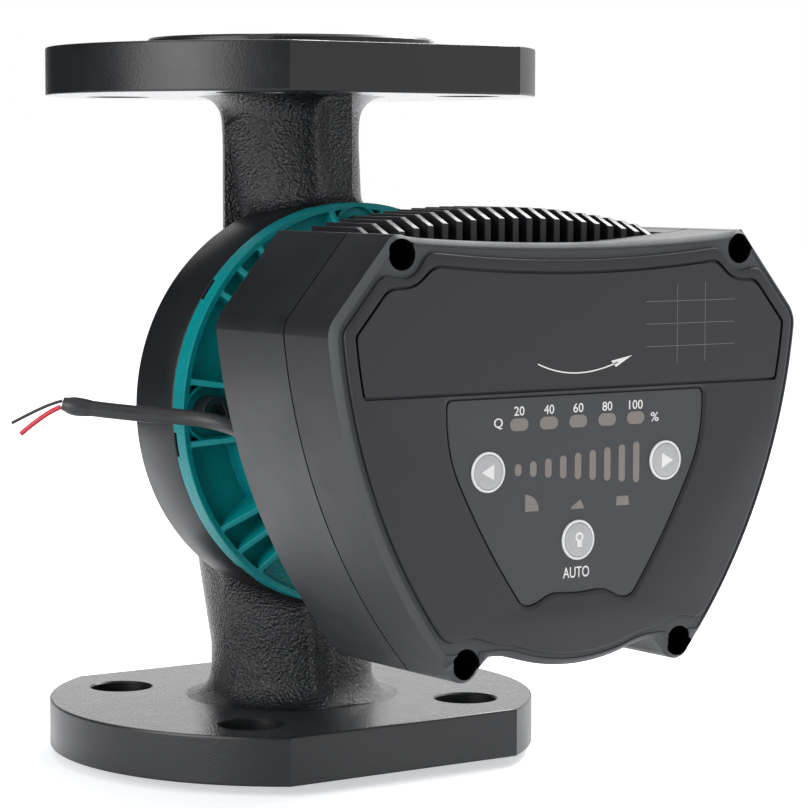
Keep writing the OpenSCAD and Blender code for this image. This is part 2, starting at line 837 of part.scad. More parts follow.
module stator_core() color("#7d8084") motor_frame() {
    forward(stack_s) linear_extrude(stack_len) difference() {
        circle(r = stator_r);
        circle(r = tooth_r);
        around(slot_count) slot_outline(0);
    }
}

// One winding slot, opened by a narrow mouth towards the rotor
module slot_outline(shrink) {
    half = 180 / slot_count * slot_share;
    intersection() {
        difference() {
            circle(r = slot_r - shrink);
            circle(r = tooth_r + tooth_tip + shrink);
        }
        polygon([
            [0, 0], [2 * stator_r, -2 * stator_r * tan(half) + shrink],
            [2 * stator_r, 2 * stator_r * tan(half) - shrink]
        ]);
    }
    if (shrink == 0) translate([tooth_r - over, -slot_mouth / 2])
        square([tooth_tip + 2 * over + 1, slot_mouth]);
}

module stator_coils() color("#b4642d") motor_frame() {
    forward(stack_s - coil_head) linear_extrude(stack_len + 2 * coil_head)
        around(slot_count) slot_outline(coil_gap);
    for (s = [stack_s - coil_head, stack_end + coil_end_gap])
        forward(s) ring(slot_r - coil_gap, tooth_r + tooth_tip + coil_gap, coil_head - coil_end_gap);
}

module stator_leads() color("#c8452c") motor_frame() {
    for (i = [-1, 0, 1]) translate([i * lead_pitch, -lead_v, stack_end + coil_head])
        cylinder(r = lead_r, h = power_s - stack_end - coil_head);
}

// Motor housing: flange with a raised rim, then a drum up to the control box
module housing_profile() {
    polygon([
        [stator_r, joint_s], [ring_r, joint_s], [ring_r, flange_front], [rim_in_r, flange_front],
        [rim_in_r, flange_floor_s], [drum_r, flange_floor_s], [drum_r, box_s], [stator_r + gasket_w, box_s],
        [stator_r + gasket_w, box_s - gasket_t], [stator_r, box_s - gasket_t]
    ]);
}

// A rib stiffens the flange: it climbs from the rim to the drum and runs along it
module rib() {
    rotate([90, 0, 0]) translate([0, 0, -rib_t / 2]) linear_extrude(rib_t) polygon([
        [drum_r - rib_root, joint_s + rib_root], [rim_in_r + rib_root, joint_s + rib_root],
        [rim_in_r + rib_root, flange_front - rib_root / 2], [drum_r + rib_h, rib_rise_s],
        [drum_r + rib_h, box_s - rib_end_gap - rib_runout], [drum_r - rib_root, box_s - rib_end_gap]
    ]);
}

module motor_housing() color("#00807f") motor_frame() {
    difference() {
        union() {
            rotate_extrude() housing_profile();
            for (q = [0 : 3], a = rib_angles) rotate(90 * q + a) rib();
            around(4, 45) translate([shell_screw_pc, 0, box_s - shell_boss_len])
                cylinder(r = shell_boss_r, h = shell_boss_len);
            around(4) translate([motor_bolt_pc, 0, joint_s])
                cylinder(r = bolt_pocket_r + pocket_wall, h = motor_flange_t);
        }
        forward(joint_s - over) cylinder(r = stator_r, h = motor_len - gasket_t + over);
        forward(box_s - gasket_t) cylinder(r = stator_r + gasket_w, h = gasket_t + over);
        around(4) translate([motor_bolt_pc, 0, 0]) {
            forward(bolt_seat_s) cylinder(r = bolt_pocket_r, h = rib_rise_s - bolt_seat_s + 2 * rib_h);
            forward(joint_s - over) cylinder(r = motor_bolt_r + bolt_gap, h = bolt_seat_t + 2 * over);
        }
        around(4, 45) translate([shell_screw_pc, 0, box_s - shell_grip - tip_gap])
            cylinder(r = shell_screw_r + thread_gap, h = shell_grip + tip_gap + over);
        around(8, notch_offset) translate([ring_r - notch_reach, -notch_len / 2, joint_s - over])
            cube([2 * notch_reach, notch_len, notch_d + over]);
    }
}

module motor_bolts() color("#2a2c2f") motor_frame() {
    around(4) translate([motor_bolt_pc, 0, 0]) difference() {
        union() {
            forward(joint_s - bolt_grip) cylinder(r = motor_bolt_r, h = bolt_grip + bolt_seat_t + over);
            forward(bolt_seat_s) cylinder(r = bolt_head_r, h = bolt_head_h);
        }
        forward(bolt_seat_s + bolt_head_h / 2) cylinder(r = motor_bolt_r, h = bolt_head_h, $fn = 6);
    }
}

module housing_gasket() color("#17181a") motor_frame() {
    forward(box_s - gasket_t) ring(stator_r + gasket_w - seat_gap, stator_r + seat_gap, gasket_t);
}

// Outline of the control box, moved inwards by inset
module side_disc(side, inset) {
    translate([side * side_centre_x, side_centre_v]) circle(r = side_r - inset, $fn = arc_fn);
}

module shoulder(side, inset) {
    mirror([side < 0 ? 1 : 0, 0]) translate([box_half_w, corner_v]) rotate(shoulder_angle)
        translate([-2 * reach - inset, -reach]) square([2 * reach, 2 * reach]);
}

module box_core(inset) {
    difference() {
        intersection() {
            side_disc(1, inset);
            side_disc(-1, inset);
            shoulder(1, inset);
            shoulder(-1, inset);
            translate([-reach, -base_v + inset]) square([2 * reach, 2 * reach]);
        }
        translate([0, top_v + top_r]) circle(r = top_r + inset, $fn = arc_fn);
    }
}

module bulge(inset) {
    intersection() {
        translate([0, -bulge_v + bulge_r]) circle(r = bulge_r - inset, $fn = arc_fn);
        translate([-reach, -reach]) square([2 * reach, reach - base_v + inset + bulge_v - base_v]);
    }
}

module box_plain(inset) {
    box_core(inset);
    bulge(inset);
}

// Webs that join the right lower screw boss to the side arc and to the base
module heel() {
    boss = [lower_screw_x, -lower_screw_v];
    centre = [side_centre_x, side_centre_v];
    toe = centre + (side_r - heel_gap) * unit(boss - centre);
    corner_x = side_centre_x + sqrt(pow(side_r, 2) - pow(side_centre_v + base_v, 2));
    polygon([boss, toe, [corner_x - heel_gap, heel_gap - base_v]]);
    polygon([
        boss, [boss[0] - heel_reach, heel_gap - base_v],
        boss - (boss_r - heel_gap) * [cos(heel_angle), sin(heel_angle)]
    ]);
}

module box_outline(inset) {
    box_plain(inset);
    intersection() {
        at_points(cover_screws_at) circle(r = boss_r - min(inset, boss_r - 1));
        shoulder(1, inset);
        shoulder(-1, inset);
    }
    if (inset == 0) {
        heel();
        mirror([1, 0]) heel();
    }
}

// The rear shell gives way to the fins along its top
module fin_bay(inset) {
    translate([-fin_zone - inset, fin_floor_v - inset]) square([2 * fin_zone + 2 * inset, reach]);
}

module shell_outline(inset) {
    difference() {
        box_outline(inset);
        fin_bay(inset);
    }
}

// A fin stands on the channel floor at x. Its top follows the arch and slants down at the front.
module fin(x) {
    top = fin_top_v - fin_arch_r + sqrt(pow(fin_arch_r, 2) - pow(x, 2));
    root = fin_floor_v - over;
    translate([x - fin_t / 2, 0, 0]) rotate([0, 90, 0]) linear_extrude(fin_t) polygon([
        [-box_s, root], [-box_s, top], [fin_slant_d - fin_front_s, top],
        [-fin_front_s, top - fin_slant_h], [-fin_front_s, root]
    ]);
}

module fins() {
    for (i = [0 : fin_count - 1]) fin((i - (fin_count - 1) / 2) * fin_pitch);
}

module screw_towers(r) {
    at_points(cover_screws_at) circle(r = r);
}

module rear_shell() color("#2b2c2f") motor_frame() {
    difference() {
        union() {
            difference() {
                forward(box_s) linear_extrude(shell_depth) shell_outline(0);
                forward(box_s + rear_wall) linear_extrude(shell_depth) shell_outline(box_wall);
            }
            forward(box_s) linear_extrude(shell_depth) intersection() {
                screw_towers(boss_r);
                box_outline(0);
            }
            fins();
            // Frame that closes the fin bay behind the cover's top edge
            forward(parting_s - frame_t) linear_extrude(frame_t) difference() {
                box_outline(0);
                shell_outline(box_wall);
            }
            forward(box_s + rear_wall - over) linear_extrude(power_post + over)
                at_points(power_posts) circle(r = post_r);
        }
        at_points(cover_screws_at) forward(parting_s - screw_grip - tip_gap)
            cylinder(r = screw_r + thread_gap, h = screw_grip + tip_gap + over);
        forward(parting_s - seal_h) linear_extrude(seal_h + over) seal_outline();
        around(4, 45) translate([shell_screw_pc, 0, box_s - over])
            cylinder(r = shell_screw_r + bolt_gap, h = rear_wall + 2 * over);
        translate([0, -lead_v, box_s - over]) cylinder(r = lead_hole_r, h = rear_wall + 2 * over);
        translate([gland_x, gland_v, box_s - over]) cylinder(r = gland_tip_r, h = rear_wall + 2 * over);
        at_points(power_posts) forward(power_s - board_screw_len)
            cylinder(r = board_screw_r + thread_gap, h = board_screw_len + over);
    }
}

// The seal runs along the wall and turns inwards round each screw
module seal_detour(r) {
    for (p = cover_screws_at) translate(p) {
        circle(r = r);
        rotate(atan2(p[1], p[0])) translate([0, over - r]) square([reach, 2 * (r - over)]);
    }
}

module seal_path(inset) {
    difference() {
        box_plain(seal_inset + inset);
        seal_detour(screw_r + seal_screw_gap + inset);
    }
}

module seal_outline() {
    difference() {
        seal_path(0);
        seal_path(seal_w);
    }
}

module cover_seal() color("#151618") motor_frame() {
    forward(parting_s - seal_h) linear_extrude(seal_h) seal_outline();
}

module shell_screws() color("#aeb2b7") motor_frame() {
    around(4, 45) translate([shell_screw_pc, 0, box_s]) {
        forward(-shell_grip) cylinder(r = shell_screw_r, h = shell_grip + rear_wall + over);
        forward(rear_wall) cylinder(r = shell_head_r, h = shell_head_h);
    }
}

// Power electronics in the rear shell
module power_board() color("#2f6b3f") motor_frame() {
    forward(power_s) linear_extrude(board_t) difference() {
        square([2 * power_half_w, 2 * power_half_h], center = true);
        at_points(power_posts) circle(r = board_screw_r + bolt_gap);
    }
}

module capacitors() color("#31343a") motor_frame() {
    at_points(capacitors_at) forward(power_front_s) cylinder(r = capacitor_r, h = capacitor_h);
}

module power_module() color("#1c1d20") motor_frame() {
    translate([module_at[0], module_at[1], power_front_s]) cube([module_w, module_h, module_t]);
}

module choke() color("#a8752f") motor_frame() {
    translate([choke_at[0], choke_at[1], power_front_s + choke_wire_r])
        rotate_extrude() translate([choke_r, 0]) circle(r = choke_wire_r);
}

module board_screws() color("#b9bcc0") motor_frame() {
    at_points(power_posts) {
        forward(power_s - board_screw_len)
            cylinder(r = board_screw_r, h = board_screw_len + board_t + over);
        forward(power_front_s) cylinder(r = board_screw_head, h = board_screw_head_h);
    }
    at_points(control_posts) {
        forward(control_s - over)
            cylinder(r = board_screw_r, h = board_t + board_screw_len - tip_gap + over);
        forward(control_s - board_screw_head_h) cylinder(r = board_screw_head, h = board_screw_head_h);
    }
}

module board_link() color("#26282b") motor_frame() {
    translate([link_at[0] - link_w / 2, link_at[1] - link_d / 2, power_front_s])
        cube([link_w, link_d, control_s - power_front_s]);
}

// Control electronics behind the panel
module control_outline() {
    polygon([
        [-control_half_w, control_top_v], [control_half_w, control_top_v],
        [control_half_w, -control_turn_v], [control_tail_x, -control_base_v],
        [-control_tail_x, -control_base_v], [-control_half_w, -control_turn_v]
    ]);
}

module control_board() color("#2f6b3f") motor_frame() {
    forward(control_s) linear_extrude(board_t) difference() {
        control_outline();
        at_points(control_posts) circle(r = board_screw_r + bolt_gap);
    }
}

module push_switches() color("#1d1e21") motor_frame() {
    // The hole under each stem ends just past the button's travel
    hole_s = switch_s - stem_depth - button_travel - stem_gap;
    at_points(buttons_at) difference() {
        translate([-switch_w / 2, -switch_w / 2, board_front_s]) cube([switch_w, switch_w, switch_h]);
        forward(hole_s) cylinder(r = stem_r + stem_gap, h = switch_s - hole_s + over);
    }
}

module pill_outline(grow) {
    for (i = [0 : pill_count - 1]) translate([(i - (pill_count - 1) / 2) * pill_pitch, pill_v]) {
        square([pill_w - pill_h + 2 * grow, pill_h + 2 * grow], center = true);
        for (k = [-1, 1]) translate([k * (pill_w - pill_h) / 2, 0]) circle(r = pill_h / 2 + grow);
    }
}

module bar_outline(grow) {
    growth = (bar_max - bar_min) / (bar_count - 1);
    for (i = [0 : bar_count - 1]) translate([(i - (bar_count - 1) / 2) * bar_pitch, -arrow_v]) {
        straight = bar_min + i * growth - bar_w;
        square([bar_w + 2 * grow, straight], center = true);
        for (k = [-1, 1]) translate([0, k * straight / 2]) circle(r = bar_w / 2 + grow);
    }
}

// Signs of the three modes: quarter disc, wedge and trapezium
module mode_outline(grow) {
    translate([-mode_pitch - mode_w / 2 - grow, -mode_v - mode_w / 2 - grow]) intersection() {
        circle(r = mode_w + 2 * grow);
        square(mode_w + 2 * grow);
    }
    translate([-mode_w / 2, -mode_v - mode_h]) polygon([
        [-grow, -grow], [mode_w + 2 * grow, -grow], [mode_w * mode_peak + grow, mode_h + grow],
        [mode_w * mode_peak - grow, mode_h + grow], [-grow, mode_h * mode_heel + grow]
    ]);
    translate([mode_pitch - mode_w / 2, -mode_v - mode_h]) polygon([
        [-grow, -grow], [mode_w + grow, -grow], [mode_w - mode_slant + grow, mode_h + grow],
        [mode_slant / 2 - grow, mode_h + grow]
    ]);
}

module window_outlines(grow) {
    pill_outline(grow);
    bar_outline(grow);
    mode_outline(grow);
}

module flow_lights() color("#a39a92") motor_frame() {
    forward(guide_s) linear_extrude(keypad_s - guide_s) pill_outline(0);
}

module level_lights() color("#a39a92") motor_frame() {
    forward(guide_s) linear_extrude(keypad_s - guide_s) bar_outline(0);
}

module mode_lights() color("#a39a92") motor_frame() {
    forward(guide_s) linear_extrude(keypad_s - guide_s) mode_outline(0);
}

module chip(x, v) {
    translate([x - chip_w / 2, v - chip_w / 2, board_front_s]) cube([chip_w, chip_w, chip_h]);
}

module indicator_chips() color("#e6d9a8") motor_frame() {
    for (i = [0 : pill_count - 1]) chip((i - (pill_count - 1) / 2) * pill_pitch, pill_v);
    for (i = [0 : bar_count - 1]) chip((i - (bar_count - 1) / 2) * bar_pitch, -arrow_v);
    for (i = [-1 : 1]) chip(i * mode_pitch, -mode_v - mode_h / 2);
}

// Front cover: side wall, rim, raised panel with pockets for plate and keypad
module panel_outline(inset) {
    difference() {
        box_outline(panel_inset + inset);
        screw_towers(well_r + panel_notch + inset);
    }
}

module plate_outline(shrink) {
    difference() {
        intersection() {
            box_core(plate_inset + shrink);
            translate([-reach, plate_base_v + shrink]) square([2 * reach, reach]);
        }
        screw_towers(well_r + plate_notch + shrink);
    }
}

module keypad_outline(shrink) {
    // Centre of each arched side, from its two ends and its radius
    chord = [keypad_tip_x - keypad_half_w, -keypad_tip_v + keypad_turn_v];
    middle = [keypad_half_w, -keypad_turn_v] + chord / 2;
    inward = unit([chord[1], -chord[0]]);
    centre = middle + inward * sqrt(pow(keypad_side_r, 2) - pow(norm(chord) / 2, 2));
    difference() {
        intersection() {
            translate([-keypad_half_w + shrink, -keypad_tip_v + shrink])
                square([2 * (keypad_half_w - shrink), keypad_tip_v + keypad_top_v - 2 * shrink]);
            translate(centre) circle(r = keypad_side_r - shrink, $fn = arc_fn);
            mirror([1, 0]) translate(centre) circle(r = keypad_side_r - shrink, $fn = arc_fn);
        }
        polygon([
            [-keypad_notch_x - keypad_notch_h - shrink, -keypad_tip_v - over],
            [keypad_notch_x + keypad_notch_h + shrink, -keypad_tip_v - over],
            [keypad_notch_x, -keypad_tip_v + keypad_notch_h + shrink],
            [-keypad_notch_x, -keypad_tip_v + keypad_notch_h + shrink]
        ]);
    }
}

module front_cover() color("#3a3b3e") motor_frame() {
    difference() {
        union() {
            difference() {
                union() {
                    forward(parting_s) linear_extrude(cover_depth) box_outline(0);
                    forward(rim_s - over) linear_extrude(panel_rise + over) panel_outline(0);
                }
                forward(parting_s - over) linear_extrude(cover_ceiling - parting_s + over)
                    box_core(box_wall);
                forward(parting_s - over) linear_extrude(panel_ceiling - parting_s + over)
                    panel_outline(box_wall);
            }
            forward(parting_s) linear_extrude(cover_depth) intersection() {
                screw_towers(boss_r);
                box_outline(0);
            }
            forward(board_front_s) linear_extrude(panel_ceiling - board_front_s + over)
                at_points(control_posts) circle(r = post_r);
        }
        at_points(cover_screws_at) {
            forward(parting_s - over) cylinder(r = screw_r + bolt_gap, h = cover_depth + panel_rise);
            forward(screw_seat_s) cylinder(r = well_r, h = reach);
        }
        forward(panel_s - plate_rating_t) linear_extrude(plate_rating_t + over) plate_outline(0);
        forward(keypad_floor_s) linear_extrude(keypad_sink + keypad_t + over) keypad_outline(0);
        forward(panel_ceiling - over) linear_extrude(box_wall + 2 * over) window_outlines(light_gap);
        at_points(buttons_at) forward(panel_ceiling - over)
            cylinder(r = button_r + button_gap, h = box_wall + 2 * over);
        at_points(control_posts) forward(board_front_s - over)
            cylinder(r = board_screw_r + thread_gap, h = board_screw_len + over);
    }
}

module cover_screws() color("#8d9196") motor_frame() {
    at_points(cover_screws_at) difference() {
        union() {
            forward(parting_s - screw_grip)
                cylinder(r = screw_r, h = screw_grip + screw_seat_s - parting_s + over);
            forward(screw_seat_s) cylinder(r = screw_head_r, h = screw_head_h);
        }
        forward(screw_seat_s + screw_head_h / 2) cylinder(r = socket_r, h = screw_head_h, $fn = 6);
    }
}

module rating_plate() color("#3c3d41") motor_frame() {
    forward(panel_s - plate_rating_t) linear_extrude(plate_rating_t) plate_outline(pocket_gap);
}

module keypad_overlay() color("#54565a") motor_frame() {
    forward(keypad_floor_s) linear_extrude(keypad_t) difference() {
        keypad_outline(pocket_gap);
        window_outlines(light_gap);
        at_points(buttons_at) circle(r = bezel_r);
    }
}

module button_bezels() color("#f2f3f4") motor_frame() {
    at_points(buttons_at) forward(keypad_floor_s) ring(bezel_r, bezel_r - bezel_w, keypad_t + bezel_h);
}

// A button: domed cap, retaining flange behind the panel, and a stem into its switch
module button(index) {
    at = buttons_at[index];
    top_s = keypad_s + button_h;
    flange_s = panel_ceiling - seat_gap - button_flange_t;
    translate([at[0], at[1], 0]) {
        intersection() {
            forward(flange_s) cylinder(r = button_r, h = top_s - flange_s);
            forward(top_s - button_dome_r) sphere(r = button_dome_r);
        }
        forward(flange_s) cylinder(r = button_r + button_flange_w, h = button_flange_t);
        forward(switch_s - stem_depth) cylinder(r = stem_r, h = flange_s - switch_s + stem_depth + over);
    }
}

module left_button() color("#bfc3c7") motor_frame() {
    button(0);
}

module right_button() color("#bfc3c7") motor_frame() {
    button(1);
}

module auto_button() color("#bfc3c7") motor_frame() {
    button(2);
}

// Signal cable with its gland, shrink sleeve and two bare-ended cores
module cable_gland() color("#1b1c1e") motor_frame() {
    translate([gland_x, gland_v, 0]) {
        forward(box_s - gland_plug) cylinder(r = gland_r, h = gland_plug);
        forward(box_s - gland_len) cylinder(r1 = gland_tip_r, r2 = gland_r, h = gland_len - gland_plug);
        forward(box_s - over) cylinder(r = gland_tip_r - seat_gap, h = rear_wall + over);
        forward(box_s + rear_wall) cylinder(r = gland_r, h = gland_nut_t);
    }
}

module signal_cable() color("#202124") translate(gland_tip) tube_along(cable_route, cable_d, 10);

module cable_sleeve() color("#18191b") translate(gland_tip) tube_along(sleeve_route, sleeve_d, 10);

module black_core() color("#141416") translate(gland_tip) tube_along(black_route, black_core_d, 8);

module red_core() color("#c3262f") translate(gland_tip) tube_along(red_route, red_core_d, 8);

pump_housing();
wear_ring();
impeller();
impeller_nut();
rotor_shaft();
rotor_magnet();
rotor_sleeve();
thrust_washer();
front_bearing();
rear_bearing();
bearing_plate();
rotor_can();
can_seal();
stator_core();
stator_coils();
stator_leads();
motor_housing();
motor_bolts();
housing_gasket();
rear_shell();
shell_screws();
power_board();
capacitors();
power_module();
choke();
board_screws();
board_link();
control_board();
push_switches();
indicator_chips();
front_cover();
cover_seal();
cover_screws();
rating_plate();
keypad_overlay();
button_bezels();
left_button();
right_button();
auto_button();
flow_lights();
level_lights();
mode_lights();
cable_gland();
signal_cable();
cable_sleeve();
black_core();
red_core();
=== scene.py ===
import math

import bmesh
import bpy
import numpy as np
from mathutils import Matrix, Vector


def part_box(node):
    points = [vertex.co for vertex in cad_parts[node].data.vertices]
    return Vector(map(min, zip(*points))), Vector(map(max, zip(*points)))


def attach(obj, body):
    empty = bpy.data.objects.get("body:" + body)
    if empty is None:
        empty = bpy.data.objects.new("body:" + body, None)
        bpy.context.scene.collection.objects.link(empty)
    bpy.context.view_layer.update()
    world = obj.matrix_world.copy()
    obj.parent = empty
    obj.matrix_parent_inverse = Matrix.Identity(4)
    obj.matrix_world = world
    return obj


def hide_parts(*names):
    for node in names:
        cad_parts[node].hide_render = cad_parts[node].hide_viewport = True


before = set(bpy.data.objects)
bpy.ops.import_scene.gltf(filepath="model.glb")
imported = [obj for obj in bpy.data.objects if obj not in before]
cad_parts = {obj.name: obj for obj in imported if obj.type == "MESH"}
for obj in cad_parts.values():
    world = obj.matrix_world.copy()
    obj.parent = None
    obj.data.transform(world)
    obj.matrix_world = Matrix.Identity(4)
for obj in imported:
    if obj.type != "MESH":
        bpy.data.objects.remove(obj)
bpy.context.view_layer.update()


# Viewpoint: a long lens to the left of the panel and a little above the motor axis,
# where the photograph was taken from. It has no shift and everything is in focus.
lens = bpy.data.cameras.new("studio_camera")
lens.sensor_fit = "HORIZONTAL"
lens.sensor_width = 36
lens.lens = 133.59
camera = bpy.data.objects.new("studio_camera", lens)
camera_turn = Matrix.Rotation(math.radians(-34.807), 4, "Z")
camera_tilt = Matrix.Rotation(math.radians(90 - 4.569), 4, "X")
camera_roll = Matrix.Rotation(math.radians(0.117), 4, "Z")
camera_place = Matrix.Translation((-0.50024, -0.78079, 0.18186))
camera.matrix_world = camera_place @ camera_turn @ camera_tilt @ camera_roll
bpy.context.scene.collection.objects.link(camera)
bpy.context.scene.camera = camera
bpy.context.scene.view_settings.view_transform = "Standard"


# Signal cable: a round two-core lead in black PVC that leaves the gland on the control box's
# rear wall, bends aside past the motor and ends cut short, with a shrink sleeve and two cores.
MM = 0.001


def smooth_route(points, steps):
    """A cubic in each span between two points, whose slope at a point is half the chord of its neighbours."""
    p = np.vstack([2 * points[0] - points[1], points, 2 * points[-1] - points[-2]])
    t = np.linspace(0, 1, steps, endpoint=False)[None, :, None]
    a, b, c, d = (p[i : len(p) - 3 + i][:, None, :] for i in range(4))
    square, cube = 2 * a - 5 * b + 4 * c - d, 3 * b - a - 3 * c + d
    spans = 0.5 * (2 * b + (c - a) * t + square * t**2 + cube * t**3)
    return np.vstack([spans.reshape(-1, 3), points[-1:]])


def grid_faces(rows, columns):
    """Quads between neighbouring rows of a grid whose columns close on themselves."""
    row, column = np.meshgrid(np.arange(rows - 1), np.arange(columns), indexing="ij")
    following = (column + 1) % columns
    corners = [row * columns + column, row * columns + following]
    corners += [(row + 1) * columns + following, (row + 1) * columns + column]
    return np.stack(corners, -1).reshape(-1, 4)


def capped_faces(rows, columns):
    """Quads of such a grid, with a flat cap over its first row and one over its last."""
    first = list(range(columns))[::-1]
    last = list(range((rows - 1) * columns, rows * columns))
    return grid_faces(rows, columns).tolist() + [first, last]


def ring_faces(rows, columns):
    """Quads of such a grid, whose last row meets its first."""
    return grid_faces(rows + 1, columns) % (rows * columns)


def full_turn(count):
    """Angles of equal steps round a whole circle."""
    return np.linspace(0, 2 * np.pi, count, endpoint=False)


def shade(mesh, sharp):
    """Shades a mesh smooth and marks the edges that turn more than the angle as sharp."""
    mesh.polygons.foreach_set("use_smooth", np.ones(len(mesh.polygons), bool))
    mesh.set_sharp_from_angle(angle=sharp)


def new_piece(name, points, faces, sharp=math.radians(30)):
    """A smooth-shaded mesh object at the origin, from points in metres and lists of corners."""
    mesh = bpy.data.meshes.new(name)
    mesh.from_pydata(points.tolist(), [], faces)
    mesh.update()
    shade(mesh, sharp)
    piece = bpy.data.objects.new(name, mesh)
    bpy.context.scene.collection.objects.link(piece)
    return piece


def tube_piece(name, path, radius, sides):
    """A closed tube with flat ends: ring i is path[i] + radius[i] * (cos a * aside + sin a * above)."""
    along = np.gradient(path, axis=0)
    along /= np.linalg.norm(along, axis=1, keepdims=True)
    aside = np.cross([0.0, 0.0, 1.0], along)
    aside /= np.linalg.norm(aside, axis=1, keepdims=True)
    above = np.cross(along, aside)
    angle = full_turn(sides)[None, :, None]
    ring = np.cos(angle) * aside[:, None, :] + np.sin(angle) * above[:, None, :]
    points = path[:, None, :] + radius[:, None, None] * ring
    return new_piece(name, points.reshape(-1, 3), capped_faces(len(path), sides))


def add_node(tree, kind, **values):
    """A new shader node with some of its inputs set."""
    node = tree.nodes.new("ShaderNode" + kind)
    for name, value in values.items():
        node.inputs[name].default_value = value
    return node


def grain_group():
    """Shared surface effect in object coordinates. Grain is fine noise for bumps and Mottle is slow noise for
    colour and gloss. Both lie around 0.5."""
    tree = bpy.data.node_groups.new("surface_grain", "ShaderNodeTree")
    for end, names in (("INPUT", ("Grain Scale", "Mottle Scale")), ("OUTPUT", ("Grain", "Mottle"))):
        for name in names:
            tree.interface.new_socket(name, in_out=end, socket_type="NodeSocketFloat")
    start = tree.nodes.new("NodeGroupInput")
    end = tree.nodes.new("NodeGroupOutput")
    place = add_node(tree, "TexCoord")
    for name, detail in (("Grain", 3.0), ("Mottle", 4.0)):
        noise = add_node(tree, "TexNoise", Detail=detail)
        tree.links.new(place.outputs["Object"], noise.inputs["Vector"])
        tree.links.new(start.outputs[name + " Scale"], noise.inputs["Scale"])
        tree.links.new(noise.outputs["Fac"], end.inputs[name])
    return tree


surface_grain = grain_group()


def new_finish(name, low, high, rough, grain, depth, mottle=60.0, metallic=0.0, specular=0.5):
    """Finish whose colour runs from low to high and whose roughness runs over rough with the slow mottle,
    with bumps of the fine grain. Grain is in cycles per metre and depth in metres."""
    material = bpy.data.materials.new(name)
    material.use_nodes = True
    tree = material.node_tree
    shader = tree.nodes["Principled BSDF"]
    shader.inputs["Metallic"].default_value = metallic
    shader.inputs["Specular IOR Level"].default_value = specular
    effect = tree.nodes.new("ShaderNodeGroup")
    effect.node_tree = surface_grain
    effect.inputs["Grain Scale"].default_value = grain
    effect.inputs["Mottle Scale"].default_value = mottle
    colour = tree.nodes.new("ShaderNodeMix")
    colour.data_type = "RGBA"
    colour.inputs["A"].default_value = (*low, 1)
    colour.inputs["B"].default_value = (*high, 1)
    limits = {"From Min": 0.3, "From Max": 0.7, "To Min": rough[0], "To Max": rough[1]}
    spread = add_node(tree, "MapRange", **limits)
    bump = add_node(tree, "Bump", Distance=depth)
    for socket in (colour.inputs["Factor"], spread.inputs["Value"]):
        tree.links.new(effect.outputs["Mottle"], socket)
    tree.links.new(effect.outputs["Grain"], bump.inputs["Height"])
    tree.links.new(colour.outputs["Result"], shader.inputs["Base Color"])
    tree.links.new(spread.outputs["Result"], shader.inputs["Roughness"])
    tree.links.new(bump.outputs["Normal"], shader.inputs["Normal"])
    return material


def dress(piece, material):
    """Gives a piece one finish."""
    piece.data.materials.clear()
    piece.data.materials.append(material)


def stand_for(piece, body, *nodes):
    """Lets a piece ride on a body in place of nodes of the frame."""
    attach(piece, body)
    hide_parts(*nodes)


gland_low, gland_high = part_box("cable_gland")
gland_tip = np.array([(gland_low.x + gland_high.x) / 2, gland_high.y, (gland_low.z + gland_high.z) / 2])
cable_route = np.array([
    [0, 0, 0], [0, 4, 0], [0, 8, 0.5], [-0.4, 12.5, 1.4], [-2, 18, 2.4], [-4.8, 22.5, 3.2],
    [-8.8, 26.5, 3.7], [-13, 29.7, 4.1], [-17, 32.7, 4.4], [-21, 35.7, 4.9], [-25, 38.7, 5.4],
    [-29, 41.7, 6],
])
sleeve_route = np.array([[-29, 41.7, 6], [-33, 44.7, 6.6], [-35.4, 46.5, 7.3]])
black_route = np.array([
    [-35.6, 46.6, 8.1], [-38.3, 48.7, 7], [-41.2, 50.9, 5.4], [-44.1, 53.1, 3.6], [-47, 55.3, 1.7],
])
red_route = np.array([
    [-35.9, 46.8, 6.4], [-38.2, 48.5, 5], [-40.6, 50.4, 3], [-42.9, 52.2, 0.8], [-45, 53.8, -1.4],
])
cable_radius = 2.25 * MM
cable_path = gland_tip + smooth_route(cable_route, 3) * MM
cable = tube_piece("signal_cable_lead", cable_path, np.full(len(cable_path), cable_radius), 24)
cable_black = new_finish(
    "cable_black", (0.009, 0.0095, 0.0105), (0.02, 0.021, 0.023), (0.38, 0.52), 900, 0.00008
)
dress(cable, cable_black)

sleeve_path = gland_tip + smooth_route(sleeve_route, 10) * MM
sleeve_share = np.linspace(0, 1, len(sleeve_path))
sleeve_bulge = 0.36 * np.sin(np.pi * np.clip(sleeve_share * 1.25, 0, 1))
sleeve_radius = (2.32 + sleeve_bulge - 0.5 * sleeve_share**4) * MM
sleeve = tube_piece("shrink_sleeve", sleeve_path, sleeve_radius, 24)
dress(sleeve, cable_black)

black_radius = 0.45 * MM
black_path = gland_tip + smooth_route(black_route, 6) * MM
black_lead = tube_piece("black_lead", black_path, np.full(len(black_path), black_radius), 12)
dress(black_lead, cable_black)
red_radius = 0.7 * MM
red_path = gland_tip + smooth_route(red_route, 6) * MM
red_lead = tube_piece("red_lead", red_path, np.full(len(red_path), red_radius), 12)
lead_red = new_finish("lead_red", (0.5, 0.012, 0.03), (0.62, 0.03, 0.05), (0.3, 0.42), 1500, 0.00003)
dress(red_lead, lead_red)

for piece, node in (
    (cable, "signal_cable"), (sleeve, "cable_sleeve"), (black_lead, "black_core"), (red_lead, "red_core"),
):
    stand_for(piece, "pump_body", node)


